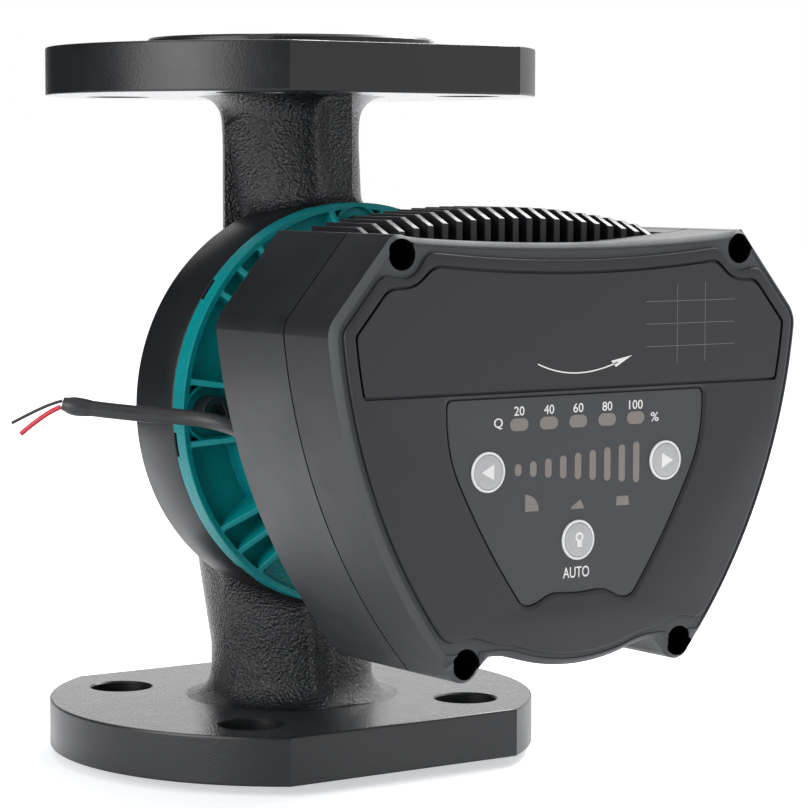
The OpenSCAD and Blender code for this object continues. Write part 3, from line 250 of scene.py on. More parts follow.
# Studio: a pale table top in a white room, a tall softbox on the left and another over the right, with
# two dark cards that stand behind and before the left side, as for any black product.
table_columns = 96
table_radius = 6.0
table_turn = full_turn(table_columns)
table_circle = np.stack([np.cos(table_turn), np.sin(table_turn), np.zeros(table_columns)], -1)
table_points = np.vstack([table_radius * table_circle, 0.001 * table_circle])
table_faces = grid_faces(2, table_columns).tolist() + [list(range(table_columns, 2 * table_columns))]
table = new_piece("table_top", table_points, table_faces)


def background_rays(tree):
    """Mask of the rays that show the background: from the camera, mirrored, or passed through glass."""
    light = add_node(tree, "LightPath")
    mask = light.outputs["Is Camera Ray"]
    for kind in ("Is Glossy Ray", "Is Transmission Ray"):
        higher = add_node(tree, "Math")
        higher.operation = "MAXIMUM"
        tree.links.new(mask, higher.inputs[0])
        tree.links.new(light.outputs[kind], higher.inputs[1])
        mask = higher.outputs["Value"]
    return mask


def bare_tree(holder):
    """Emptied node tree of a material or world."""
    holder.use_nodes = True
    holder.node_tree.nodes.clear()
    return holder.node_tree


table_white = bpy.data.materials.new("table_white")
table_tree = bare_tree(table_white)
table_matt = add_node(table_tree, "BsdfDiffuse", Color=(0.86, 0.86, 0.86, 1))
table_share = add_node(table_tree, "Math")
table_share.operation = "MULTIPLY"
table_share.inputs[1].default_value = 0.55
table_glow = add_node(table_tree, "Emission", Color=(0.96, 0.975, 1, 1))
table_sum = add_node(table_tree, "AddShader")
table_end = add_node(table_tree, "OutputMaterial")
table_tree.links.new(background_rays(table_tree), table_share.inputs[0])
table_tree.links.new(table_share.outputs["Value"], table_glow.inputs["Strength"])
table_tree.links.new(table_matt.outputs["BSDF"], table_sum.inputs[0])
table_tree.links.new(table_glow.outputs["Emission"], table_sum.inputs[1])
table_tree.links.new(table_sum.outputs["Shader"], table_end.inputs["Surface"])
table.data.materials.append(table_white)


def mixed_surface(tree, mask, first, second, end):
    """Shows the first shader where the mask is 0 and the second where it is 1."""
    mix = add_node(tree, "MixShader")
    tree.links.new(mask, mix.inputs["Fac"])
    tree.links.new(first.outputs[0], mix.inputs[1])
    tree.links.new(second.outputs[0], mix.inputs[2])
    tree.links.new(mix.outputs["Shader"], end.inputs["Surface"])


world = bpy.data.worlds.new("studio_walls")
bpy.context.scene.world = world
world_tree = bare_tree(world)
world_room = add_node(world_tree, "Background", Color=(0.95, 0.965, 1, 1), Strength=0.8)
world_seen = add_node(world_tree, "Background", Color=(1, 1, 1, 1))
world_end = add_node(world_tree, "OutputWorld")
mixed_surface(world_tree, background_rays(world_tree), world_room, world_seen, world_end)

card_black = bpy.data.materials.new("card_black")
card_tree = bare_tree(card_black)
card_seen = add_node(card_tree, "LightPath").outputs["Is Camera Ray"]
card_matt = add_node(card_tree, "BsdfDiffuse", Color=(0.02, 0.02, 0.02, 1))
card_clear = add_node(card_tree, "BsdfTransparent")
mixed_surface(card_tree, card_seen, card_matt, card_clear, add_node(card_tree, "OutputMaterial"))


def standing_card(name, turn, distance, width, height):
    """Upright card on the table that faces the pump from a turn about the pipe and a distance."""
    away = np.array([math.cos(turn), math.sin(turn), 0])
    aside = np.array([-math.sin(turn), math.cos(turn), 0]) * width / 2
    foot, head = distance * away + [0, 0, 0.002], distance * away + [0, 0, height]
    corners = np.array([foot - aside, foot + aside, head + aside, head - aside])
    card = new_piece(name, corners, [[0, 1, 2, 3]])
    card.data.materials.append(card_black)


standing_card("back_card", math.radians(122), 0.6, 1.0, 1.1)
standing_card("front_card", math.radians(-128), 1.0, 0.8, 0.7)


def softbox(name, place, turn, tilt, width, length, power):
    """Area lamp at a place that shines down, tilted about y and then turned about z by angles in degrees."""
    lamp = bpy.data.lights.new(name, "AREA")
    lamp.shape = "RECTANGLE"
    lamp.size = width
    lamp.size_y = length
    lamp.energy = power
    stand = bpy.data.objects.new(name, lamp)
    swing = Matrix.Rotation(math.radians(turn), 4, "Z") @ Matrix.Rotation(math.radians(tilt), 4, "Y")
    stand.matrix_world = Matrix.Translation(place) @ swing
    bpy.context.scene.collection.objects.link(stand)


softbox("left_softbox", (-1.19, -0.17, 0.35), 8, -88, 0.9, 1.0, 12.5)
softbox("ceiling_softbox", (0.87, 0.36, 1.1), 28, 41, 0.5, 0.9, 23.0)


# Pump housing: one grey iron casting, black dip-painted, with the grain of its sand mould on the
# necks and the rounded back. Its flanges and the volute ring are turned before painting.
pipe_top = 220.0
axis_height = pipe_top / 2
flange_inner = 17.5
foot_radius = 8.0
upper_neck = 21.0
lower_neck = 25.0
lower_flare = 34.0
flare_start = flange_inner + 2 * foot_radius
flare_end = axis_height - 2 * foot_radius
joint_forward = 30.5
ring_radius = 60.5
ring_back = 8.5
web_half = 4.3
web_forward = 27.5
web_foot = axis_height + ring_radius - 8
discharge_start = pipe_top - flange_inner - foot_radius
discharge_lean = math.radians(12)
discharge_length = 42.0
discharge_wide = 20.6
discharge_narrow = 17.5


def smooth_union(a, b, width):
    """Lower of two distances, less a quarter of the width times the square of their closeness."""
    closeness = np.clip(1 - np.abs(a - b) / width, 0, 1)
    return np.minimum(a, b) - closeness**2 * width / 4


def foot_flare(rise):
    """Extra radius of a neck near its flange: a quarter circle, flat on the flange and upright at its end."""
    inside = np.clip(foot_radius - rise, 0, foot_radius)
    return foot_radius - np.sqrt(foot_radius**2 - inside**2)


def ridge(x, y, z, start, end, radius):
    """Distance to a thin round ridge along a straight line from start to end."""
    a = np.array(start)
    d = np.array(end) - a
    p = np.stack([x, y, z], -1) - a
    share = np.clip((p @ d) / (d @ d), 0, 1)
    return np.linalg.norm(p - share[..., None] * d, axis=-1) - radius


def casting_distance(x, y, z):
    """Distance outside the cast body in millimetres: necks, web, ring and rounded back, with soft fillets."""
    forward = -y
    up = z - axis_height
    pipe_r = np.hypot(x, y)
    lower_r = np.interp(z, [flare_start, flare_end], [lower_neck, lower_flare]) + foot_flare(z - flange_inner)
    lower = np.where(up < 0, pipe_r - lower_r, np.hypot(pipe_r, up) - lower_flare)
    back = np.maximum(pipe_r - upper_neck, 6 - y)
    top_rise = pipe_top - flange_inner - z
    foot = pipe_r - upper_neck - foot_flare(top_rise) + 0.22 * np.maximum(top_rise - 3, 0)
    run = (discharge_start - z) * math.cos(discharge_lean) + forward * math.sin(discharge_lean)
    off = forward * math.cos(discharge_lean) - (discharge_start - z) * math.sin(discharge_lean)
    taper = np.interp(run, [0, discharge_length], [discharge_wide, discharge_narrow])
    channel = np.maximum(np.hypot(x, off) - taper, -run)
    web = np.maximum(np.abs(x) - web_half, np.abs(forward - web_forward / 2) - web_forward / 2)
    web = np.maximum(web, web_foot - z)
    motor_r = np.hypot(x, up)
    ring = np.maximum(motor_r - ring_radius + 0.5, ring_back - forward)
    ring = np.maximum(ring, forward - joint_forward + 0.2)
    dome = np.sqrt(motor_r**2 + (forward - joint_forward) ** 2) - ring_radius + 1.0
    volute = smooth_union(ring, dome, 1.0)
    upper = smooth_union(smooth_union(back, channel, 1.0), foot, 3.0)
    upper = np.maximum(smooth_union(upper, web, 2.0), axis_height - z)
    lower = smooth_union(lower, ridge(x, y, z, (-11, -25.6, 47), (-6, -24.3, 21), 0.7), 1.2)
    lower = smooth_union(lower, ridge(x, y, z, (-1.7, -25.3, 34), (-1.7, -25.3, 19), 0.6), 1.2)
    body = smooth_union(smooth_union(volute, lower, 7.0), upper, 5.0)
    return np.maximum(body, forward - joint_forward + 0.2)


def casting_points(rows_foot, rows_body, columns):
    """Radius of the cast body round the pipe axis, as a function of turn and height. Each ray starts outside
    and steps inwards by a share of the distance that is left, so it ends on the outermost surface."""
    bend = np.linspace(0, np.pi / 2, rows_foot, endpoint=False)
    foot = flange_inner + foot_radius * (1 - np.cos(bend))
    body = np.linspace(flange_inner + foot_radius, pipe_top - flange_inner - foot_radius, rows_body)
    height = np.concatenate([foot, body, pipe_top - foot[::-1]])[:, None]
    turn = full_turn(columns)[None, :]
    radius = np.full((len(height), columns), 100.0)
    for _ in range(120):
        radius -= 0.7 * casting_distance(radius * np.cos(turn), radius * np.sin(turn), height + 0 * turn)
        radius = np.clip(radius, 12.0, 100.0)
    return np.stack([radius * np.cos(turn), radius * np.sin(turn), height + 0 * turn], -1)


cast_grid = casting_points(14, 230, 336)
cast_rows, cast_columns = cast_grid.shape[:2]
casting = new_piece(
    "cast_body", cast_grid.reshape(-1, 3) * MM, grid_faces(cast_rows, cast_columns).tolist(), math.radians(60)
)


def turned_points(profile, centre, columns):
    """A profile of (radius, forward) turned about a line through a centre in x and height over the motor
    axis: (x + r cos a, -s, height + r sin a), in metres."""
    r, s = np.array(profile, float).T
    angle = full_turn(columns)[None, :]
    x = centre[0] + r[:, None] * np.cos(angle)
    z = axis_height + centre[1] + r[:, None] * np.sin(angle)
    return np.stack([x, -s[:, None] + 0 * angle, z], -1).reshape(-1, 3) * MM


ring_profile = [
    (50, ring_back), (59.5, ring_back), (60.2, ring_back + 0.4), (ring_radius, ring_back + 1.2),
    (ring_radius, joint_forward - 0.6), (60.3, joint_forward - 0.2), (59.9, joint_forward),
    (50, joint_forward),
]
ring_columns = 256
volute_ring = new_piece(
    "volute_ring", turned_points(ring_profile, (0, 0), ring_columns),
    grid_faces(len(ring_profile), ring_columns).tolist(),
)


flange_radius = 75.0
flange_flat = 63.0
bore_radius = 20.0
bore_depth = 14.0
face_radius = 44.0
face_rise = 3.0
heel_radius = 24.0
hole_radius = 9.5
hole_relief = 0.5
hole_reach = 55 / math.sqrt(2)
flange_turn = math.radians(25)


def flange_points(stations, columns):
    """Flange as a grid of turn and station. A station is (radius, share, inset, z): the radius moves from its
    own circle to the flange's edge by share, and the edge is the lesser of the turned radius and the flat."""
    corner = math.asin(flange_flat / flange_radius)
    quarter = np.concatenate([
        np.linspace(-corner, corner, columns, endpoint=False),
        np.linspace(corner, np.pi - corner, columns, endpoint=False),
    ])
    turn = np.concatenate([quarter, quarter + np.pi])[None, :]
    edge = np.minimum(flange_radius, flange_flat / np.maximum(np.abs(np.sin(turn)), 1e-6))
    circle, share, inset, z = (column[:, None] for column in np.array(stations, float).T)
    radius = circle * (1 - share) + (edge - inset) * share
    return np.stack([radius * np.cos(turn), radius * np.sin(turn), z + 0 * turn], -1)


def bolt_hole_cutter(at, low, high, radius, relief):
    """Cutter for a drilled hole: a cylinder that flares out by the relief at both faces."""
    profile = np.array([
        (0.01, low - 4), (radius + relief + 4, low - 4), (radius, low + relief), (radius, high - relief),
        (radius + relief + 4, high + 4), (0.01, high + 4),
    ])
    columns = 64
    angle = full_turn(columns)[None, :]
    r, z = profile[:, :1], profile[:, 1:]
    points = np.stack([at[0] + r * np.cos(angle), at[1] + r * np.sin(angle), z + 0 * angle], -1)
    return new_piece("hole_cutter", points.reshape(-1, 3) * MM, capped_faces(len(profile), columns))


def cut_away(piece, cutters, sharp=math.radians(30)):
    """Subtracts each cutter from the piece, shades it again and removes the cutters."""
    for cutter in cutters:
        cut = piece.modifiers.new("cut", "BOOLEAN")
        cut.operation = "DIFFERENCE"
        cut.solver = "EXACT"
        cut.object = cutter
    bpy.context.view_layer.update()
    shape = piece.evaluated_get(bpy.context.evaluated_depsgraph_get())
    whole = bpy.data.meshes.new_from_object(shape)
    piece.modifiers.clear()
    piece.data = whole
    shade(whole, sharp)
    for cutter in cutters:
        bpy.data.objects.remove(cutter)


edge_round = ((0.9, 0), (0.5, 0), (0.15, 0.15), (0, 0.5), (0, 0.9))
flange_stations = [
    (bore_radius, 0, 0, bore_depth), (bore_radius, 0, 0, 0.8), (bore_radius + 0.8, 0, 0, 0),
    (face_radius - 0.7, 0, 0, 0), (face_radius, 0, 0, 0.7), (face_radius, 0, 0, face_rise),
    *((face_radius, 1, inset, face_rise + rise) for inset, rise in edge_round),
    *((face_radius, 1, inset, flange_inner - rise) for inset, rise in edge_round[::-1]),
    (heel_radius, 0, 0, flange_inner), (heel_radius, 0, 0, bore_depth),
]
flange_columns = 40
flange_grid = flange_points(flange_stations, flange_columns)
flange_faces = ring_faces(*flange_grid.shape[:2])
lower_points = flange_grid.reshape(-1, 3)
upper_points = lower_points * [1, 1, -1] + [0, 0, pipe_top]
flanges = []
for name, points, faces, low, high in (
    ("lower_flange", lower_points, flange_faces[:, ::-1], face_rise, flange_inner),
    ("upper_flange", upper_points, flange_faces, pipe_top - flange_inner, pipe_top - face_rise),
):
    flange = new_piece(name, points * MM, faces.tolist(), flange_turn)
    cut_away(flange, [
        bolt_hole_cutter((i * hole_reach, j * hole_reach), low, high, hole_radius, hole_relief)
        for i in (-1, 1) for j in (-1, 1)
    ], flange_turn)
    flanges.append(flange)

cast_black = new_finish(
    "cast_black", (0.006, 0.0065, 0.0075), (0.012, 0.013, 0.015), (0.2, 0.3), 1150, 0.0009, 90
)
turned_black = new_finish(
    "turned_black", (0.006, 0.0065, 0.0075), (0.01, 0.0108, 0.012), (0.3, 0.4), 1400, 0.00006, 40,
    specular=0.42,
)
face_black = new_finish(
    "face_black", (0.03, 0.031, 0.034), (0.045, 0.047, 0.052), (0.06, 0.12), 1150, 0.0002, 120
)
dress(casting, cast_black)
dress(volute_ring, turned_black)
for flange in flanges:
    dress(flange, turned_black)
    flange.data.materials.append(face_black)
    facing = np.empty(len(flange.data.polygons) * 3, np.float32)
    flange.data.polygons.foreach_get("normal", facing)
    flat_face = np.abs(facing.reshape(-1, 3)[:, 2]) > 0.95
    flange.data.polygons.foreach_set("material_index", flat_face.astype(np.int32))
for piece in (casting, volute_ring, *flanges):
    stand_for(piece, "pump_body", "pump_housing")


# Wet end and rotor: pressed stainless wear ring, plate and can, a moulded impeller on a steel shaft,
# carbon bearings and a sleeved magnet. They are dropped into the volute from the motor side.
def dress_nodes(material, *nodes):
    """Gives solids of the frame that show as they are one finish."""
    for node in nodes:
        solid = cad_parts[node].data
        solid.materials.clear()
        solid.materials.append(material)


dress_nodes(new_finish(
    "stainless", (0.55, 0.56, 0.57), (0.66, 0.67, 0.68), (0.2, 0.34), 2500, 0.00002, 80, metallic=1.0
), "wear_ring", "impeller_nut", "rotor_shaft", "rotor_sleeve", "bearing_plate", "rotor_can")
dress_nodes(new_finish(
    "impeller_plastic", (0.03, 0.032, 0.036), (0.05, 0.053, 0.058), (0.4, 0.55), 1800, 0.00004
), "impeller")
dress_nodes(new_finish(
    "ceramic_white", (0.7, 0.69, 0.66), (0.78, 0.77, 0.74), (0.25, 0.35), 2200, 0.00002
), "thrust_washer")
dress_nodes(new_finish(
    "magnet_grey", (0.05, 0.05, 0.052), (0.08, 0.08, 0.083), (0.35, 0.5), 1600, 0.00005, metallic=0.6
), "rotor_magnet")
dress_nodes(new_finish(
    "carbon_black", (0.012, 0.012, 0.013), (0.022, 0.022, 0.024), (0.3, 0.45), 2400, 0.00003
), "front_bearing", "rear_bearing")
dress_nodes(new_finish(
    "seal_rubber", (0.008, 0.008, 0.009), (0.016, 0.016, 0.017), (0.6, 0.75), 1500, 0.00006
), "can_seal", "housing_gasket", "cover_seal")


# Stator: a pack of punched steel sheets with copper coils, pressed into the motor housing.
# Its leads run forward through the rear shell to the power board.
coil_copper = new_finish(
    "coil_copper", (0.5, 0.2, 0.09), (0.65, 0.28, 0.13), (0.25, 0.4), 2600, 0.00008, metallic=1.0
)
dress_nodes(new_finish(
    "lamination_grey", (0.24, 0.24, 0.25), (0.36, 0.36, 0.37), (0.4, 0.55), 3000, 0.00005, metallic=0.9
), "stator_core")
dress_nodes(coil_copper, "stator_coils")
dress_nodes(lead_red, "stator_leads")


# Motor housing: a die-cast aluminium drum with a bolted flange and cooling ribs, sprayed teal.
# Four socket screws through its flange clamp it to the volute ring.
def corner_points(mesh):
    """Corners of a mesh as rows of x, y and z in millimetres."""
    corners = np.empty(len(mesh.vertices) * 3, np.float32)
    mesh.vertices.foreach_get("co", corners)
    return corners.reshape(-1, 3) / MM


def softened(node, name, width, cutters=(), settle=None, plain=None):
    """Copy of a node's solid: corners are settled, loose triangles joined, cutters taken away and flat faces
    made whole, and edges that turn more than 30 degrees are rounded, save those to be left plain."""
    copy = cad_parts[node].data.copy()
    if settle is not None:
        copy.vertices.foreach_set("co", settle(corner_points(copy)).ravel().astype(np.float32) * MM)
    shape = bmesh.new()
    shape.from_mesh(copy)
    bpy.data.meshes.remove(copy)
    bmesh.ops.remove_doubles(shape, verts=shape.verts, dist=0.01 * MM)
    mesh = bpy.data.meshes.new(name)
    shape.to_mesh(mesh)
    piece = bpy.data.objects.new(name, mesh)
    bpy.context.scene.collection.objects.link(piece)
    cut_away(piece, cutters)
    shape.clear()
    shape.from_mesh(piece.data)
    bmesh.ops.dissolve_limit(shape, angle_limit=math.radians(0.2), verts=shape.verts, edges=shape.edges)
    turns = np.array([edge.calc_face_angle(0.0) for edge in shape.edges])
    ends = np.array([[corner.co for corner in edge.verts] for edge in shape.edges])
    shape.to_mesh(piece.data)
    shape.free()
    for layer in ("custom_normal", "sharp_edge", "sharp_face"):
        if layer in piece.data.attributes:
            piece.data.attributes.remove(piece.data.attributes[layer])
    piece.data.polygons.foreach_set("use_smooth", np.ones(len(piece.data.polygons), bool))
    turned = turns > math.radians(30)
    rounded = turned if plain is None else turned & ~plain(ends / MM)
    sharp = piece.data.attributes.new("sharp_edge", "BOOLEAN", "EDGE")
    sharp.data.foreach_set("value", turned & ~rounded)
    weight = piece.data.attributes.new("bevel_weight_edge", "FLOAT", "EDGE")
    weight.data.foreach_set("value", rounded.astype(np.float32))
    rounding = piece.modifiers.new("rounding", "BEVEL")
    rounding.width = width
    rounding.segments = 2
    rounding.limit_method = "WEIGHT"
    rounding.use_clamp_overlap = False
    shading = piece.modifiers.new("shading", "WEIGHTED_NORMAL")
    shading.weight = 50
    shading.keep_sharp = True
    return piece


teal_paint = new_finish(
    "teal_paint", (0.0, 0.175, 0.185), (0.0, 0.235, 0.247), (0.34, 0.46), 800, 0.00025, 70, specular=0.25
)
motor_drum = softened("motor_housing", "motor_drum", 0.35 * MM)
dress(motor_drum, teal_paint)
stand_for(motor_drum, "pump_body", "motor_housing")

black_steel = new_finish(
    "black_steel", (0.015, 0.015, 0.017), (0.035, 0.035, 0.038), (0.3, 0.45), 1800, 0.00004, metallic=0.5
)
flange_screws = softened("motor_bolts", "flange_screws", 0.25 * MM)
dress(flange_screws, black_steel)
stand_for(flange_screws, "pump_body", "motor_bolts")


# Rear shell: the die-cast half of the control box that carries the boards and cools them, satin black.
# Fins run front to back along its top. Screws from inside hold it to the motor drum.
box_half = 79.8
corner_v = 30.0
side_radius = 166.0
side_v = 44.0
side_offset = math.sqrt(side_radius**2 - (side_v - corner_v) ** 2) - box_half
shoulder_turn = math.radians(40.2)
corner_radius = 8.0
dish_radius = 440.0
dish_v = 489.8
dish_half = 52.0
bulge_radius = 63.0
bulge_v = -0.9
base_v = -59.5
web_v = -58.5
boss_radius = 5.2
parting = 120.5
well_radius = 4.4
upper_well = (57.6, 48.6)
lower_well = (36.7, -60.6)
outline_columns = 720
heel_height = 56.0
rim_front = 141.5


def stacked_points(rows):
    """Grid of points in metres. A row is a loop of (x, height over the motor axis) and its place forward."""
    loops = np.array([loop for loop, place in rows])
    forward = np.array([place for loop, place in rows])[:, None]
    x, v = loops[0].T
    if np.sum(x * np.roll(v, -1) - np.roll(x, -1) * v) < 0:
        loops = loops[:, ::-1]
    return np.stack([loops[..., 0], 0 * loops[..., 0] - forward, axis_height + loops[..., 1]], -1) * MM


def loft_piece(name, rows):
    """Closed solid through loops of equal length, from back to front."""
    points = stacked_points(rows)
    return new_piece(name, points.reshape(-1, 3), capped_faces(*points.shape[:2]))


def ring_piece(name, rows):
    """Closed ring through loops of equal length, whose last row meets the first."""
    points = stacked_points(rows)
    return new_piece(name, points.reshape(-1, 3), ring_faces(*points.shape[:2]).tolist())


def corner_cutter(side):
    """Cutter that rounds the box's side corner: an arc that nearly touches the shoulder and the side wall,
    run out along its tangents and closed well outside."""
    shoulder = np.array([math.cos(shoulder_turn), math.sin(shoulder_turn)])
    wall = np.array([box_half + side_offset, corner_v - side_v]) / side_radius
    corner = np.array([box_half, corner_v])
    centre = corner - corner_radius * (shoulder + wall) / (1 + shoulder @ wall)
    angle = np.linspace(math.atan2(wall[1], wall[0]) + 0.05, shoulder_turn - 0.05, 13)
    out = np.stack([np.cos(angle), np.sin(angle)], -1)
    along = np.stack([-np.sin(angle), np.cos(angle)], -1)
    arc = centre + corner_radius * out
    start, end = arc[:1] - 9 * along[:1], arc[-1:] + 9 * along[-1:]
    loop = np.vstack([start, arc, end, end + 6 * out[-1:], start + 6 * out[:1]]) * [side, 1]
    return loft_piece("corner_cutter", [(loop, 80), (loop, 150)])


def well_distance(x, v, well):
    """Distance from the axis of the screw well on the same side."""
    return np.hypot(np.abs(x) - well[0], v - well[1])


def smooth_cross(a, b, width):
    """Higher of two distances, rounded over a width, for the part that two outlines share."""
    return -smooth_union(-a, -b, width)


def side_distance(x, v):
    """Distance outside the two side arcs."""
    return np.hypot(np.abs(x) + side_offset, v - side_v) - side_radius


def shoulder_distance(x, v):
    """Distance outside the two straight shoulders."""
    return (np.abs(x) - box_half) * math.cos(shoulder_turn) + (v - corner_v) * math.sin(shoulder_turn)


def core_distance(x, v, soft, lift=0.0):
    """Distance outside the side arcs, the shoulders and the dished top, with soft side corners."""
    top = dish_radius - np.hypot(x, v - dish_v - lift * np.clip(1 - (x / dish_half) ** 2, 0, 1))
    return smooth_cross(smooth_cross(side_distance(x, v), shoulder_distance(x, v), soft), top, 1.5)


def box_distance(x, v, soft, lift=0.0):
    """Distance outside the box's plain outline: the core above the base line, and a round bulge under it."""
    bulge = np.maximum(np.hypot(x, v - bulge_v) - bulge_radius, v + 50)
    return smooth_union(np.maximum(core_distance(x, v, soft, lift), base_v - v), bulge, 1.5)


def rim_distance(x, v, lift=0.0):
    """Distance outside the whole outline: the box, the screw bosses and the webs beside the lower bosses."""
    across = np.abs(x)
    upper = np.maximum(well_distance(x, v, upper_well) - boss_radius, shoulder_distance(x, v))
    lower = well_distance(x, v, lower_well) - boss_radius
    aside, below = across - lower_well[0], v - lower_well[1]
    outer_web = np.maximum(side_distance(x, v), -0.65 * aside - 0.76 * below)
    inner_web = np.maximum(-0.7254 * (across - 28.7) - 0.6885 * (v + 59.45), 0.5 * aside - 0.866 * below)
    webs = np.maximum(np.minimum(outer_web, np.maximum(inner_web, aside)), v - web_v)
    return np.minimum(np.minimum(box_distance(x, v, 2.4, lift), webs), np.minimum(upper, lower))


def trace(distance, level, centre=(0.0, 0.0)):
    """Loop where a distance reaches a level, found on each ray from the centre by halving a span."""
    turn = full_turn(outline_columns)
    near, far = np.zeros(outline_columns), np.full(outline_columns, 110.0)
    for _ in range(40):
        middle = (near + far) / 2
        inside = distance(centre[0] + middle * np.cos(turn), centre[1] + middle * np.sin(turn)) < level
        near = np.where(inside, middle, near)
        far = np.where(inside, far, middle)
    return np.stack([centre[0] + near * np.cos(turn), centre[1] + near * np.sin(turn)], -1)


def traced(distance, rows, centre=(0.0, 0.0)):
    """Rows of a solid: the loop where a distance reaches each level, with its place forward."""
    return [(trace(distance, level, centre), place) for level, place in rows]


def on_side_arc(points):
    """Points a hair off the side arcs are moved on to them, so that the webs run flush with the walls."""
    x, y, z = points.astype(float).T
    across, rise = np.abs(x) + side_offset, z - axis_height - side_v
    scale = side_radius / np.hypot(across, rise)
    scale = np.where(np.abs(scale - 1) < 0.1 / side_radius, scale, 1)
    return np.stack([np.sign(x) * (across * scale - side_offset), y, axis_height + side_v + rise * scale], -1)


def plain_edges(ends):
    """Edges that stay sharp: those in the seam, along the cover's front and round the lower screw bosses."""
    forward, height = -ends[..., 1], ends[..., 2]
    in_seam = (np.abs(forward - parting) < 0.6).all(1)
    return in_seam | (forward > rim_front - 0.6).all(1) | (height < heel_height).any(1)


def seam_cutter():
    """Cutter for the fine groove that shows the parting of shell and cover."""
    return ring_piece("seam_cutter", traced(rim_distance, (
        (1.5, parting - 0.3), (1.5, parting + 0.3), (-0.5, parting + 0.3), (-0.5, parting - 0.3),
    )))


shell_black = new_finish(
    "shell_black", (0.007, 0.0075, 0.009), (0.011, 0.0118, 0.014), (0.36, 0.46), 2600, 0.00003
)
shell_cutters = [corner_cutter(1), corner_cutter(-1), seam_cutter()]
back_shell = softened("rear_shell", "back_shell", 0.3 * MM, shell_cutters, on_side_arc, plain_edges)
dress(back_shell, shell_black)
stand_for(back_shell, "pump_body", "rear_shell")

dress_nodes(new_finish(
    "zinc_plate", (0.5, 0.5, 0.48), (0.62, 0.62, 0.6), (0.3, 0.45), 2200, 0.00003, metallic=1.0
), "shell_screws", "board_screws")
dress_nodes(black_steel, "cover_screws")


# Boards: a power board with its capacitors, module and choke on posts of the shell, and a control
# board behind the panel with push switches and light chips. A header strip links the two.
dress_nodes(new_finish(
    "board_green", (0.02, 0.12, 0.05), (0.03, 0.17, 0.07), (0.3, 0.42), 1200, 0.00003
), "power_board", "control_board")
dress_nodes(new_finish(
    "can_dark", (0.03, 0.033, 0.04), (0.05, 0.054, 0.062), (0.3, 0.4), 1400, 0.00002
), "capacitors")
dress_nodes(new_finish(
    "chip_black", (0.01, 0.01, 0.011), (0.02, 0.02, 0.021), (0.45, 0.6), 2000, 0.00003
), "power_module", "board_link", "push_switches")
dress_nodes(coil_copper, "choke")
dress_nodes(new_finish(
    "chip_amber", (0.7, 0.6, 0.32), (0.8, 0.7, 0.4), (0.3, 0.4), 2000, 0.00002
), "indicator_chips")


# Cable gland: a moulded bush with a lock nut in the shell's rear wall. It grips the signal cable and
# keeps drips out of the box.
gland_bush = softened("cable_gland", "gland_bush", 0.3 * MM)
dress(gland_bush, cable_black)
stand_for(gland_bush, "pump_body", "cable_gland")


# Front cover: a moulded box lid with a fine spark-eroded grain, screwed to the rear shell through four
# deep wells at its corners. A chamfered rim runs round its front, with a groove between rim and panel.
panel_front = 144.5
panel_back = 143.05
groove_floor = 143.1
rim_lip = 143.5
rim_lift = 1.2
panel_margin = 3.3
upper_clear = 6.2
lower_clear = 5.6
cutter_back = 130.0
cutter_front = 160.0


def panel_distance(x, v):
    """Distance outside the panel: the box less its rim, swung clear of the screw wells in soft curves."""
    panel = box_distance(x, v, 1.4) + panel_margin
    panel = smooth_cross(panel, upper_clear - well_distance(x, v, upper_well), 5.0)
    return smooth_cross(panel, lower_clear - well_distance(x, v, lower_well), 8.0)


def peg(centre, radius, low):
    """Cutter for a round hole: a circle about a centre, carried from a low place to well past the panel."""
    angle = full_turn(72)
    loop = np.stack([centre[0] + radius * np.cos(angle), centre[1] + radius * np.sin(angle)], -1)
    return loft_piece("peg", [(loop, low), (loop, cutter_front)])


def paint_well_shade(piece):
    """Painted shade: near-black on the faces whose corners all lie within a well's radius of its axis."""
    piece.data.materials.append(well_painted_shade)
    x, y, z = corner_points(piece.data).T
    v = z - axis_height
    off_axis = np.minimum(well_distance(x, v, upper_well), well_distance(x, v, lower_well))
    face_corners = np.empty(len(piece.data.loops), np.int32)
    piece.data.loops.foreach_get("vertex_index", face_corners)
    face_starts = np.empty(len(piece.data.polygons), np.int32)
    piece.data.polygons.foreach_get("loop_start", face_starts)
    in_well = np.maximum.reduceat(off_axis[face_corners], face_starts) < well_radius + 0.1
    piece.data.polygons.foreach_set("material_index", in_well.astype(np.int32))


cover_grey = new_finish(
    "cover_grey", (0.0085, 0.0088, 0.0115), (0.0125, 0.013, 0.0165), (0.42, 0.52), 3600, 0.00004,
    specular=0.43,
)
# Near-black matt for the inner walls of the screw wells: painted shade for the depth of the holes, whose
# plastic is the cover's grey.
well_painted_shade = new_finish(
    "well_painted_shade", (0.001, 0.001, 0.001), (0.002, 0.002, 0.002), (0.7, 0.8), 900, 0.00005, specular=0.05
)
front_block = np.array([(-100, -80), (100, -80), (100, 80), (-100, 80)], float)
front_cutter = loft_piece("front_cutter", [(front_block, panel_back), (front_block, cutter_front)])
buttons = {"left_button": (-30.4, -9.5), "right_button": (30.4, -9.5), "auto_button": (0.0, -29.6)}
cover_cutters = [corner_cutter(1), corner_cutter(-1), seam_cutter(), front_cutter]
cover_cutters += [peg(centre, 4.8, 142.3) for centre in buttons.values()]
cover_shell = softened("front_cover", "cover_shell", 0.25 * MM, cover_cutters, on_side_arc, plain_edges)
dress(cover_shell, cover_grey)
# Painted shade on the inner walls of the screw wells.
paint_well_shade(cover_shell)


def cover_rim(x, v):
    """Distance outside the cover's rim, which stands a little over the shell along the top."""
    return rim_distance(x, v, rim_lift)


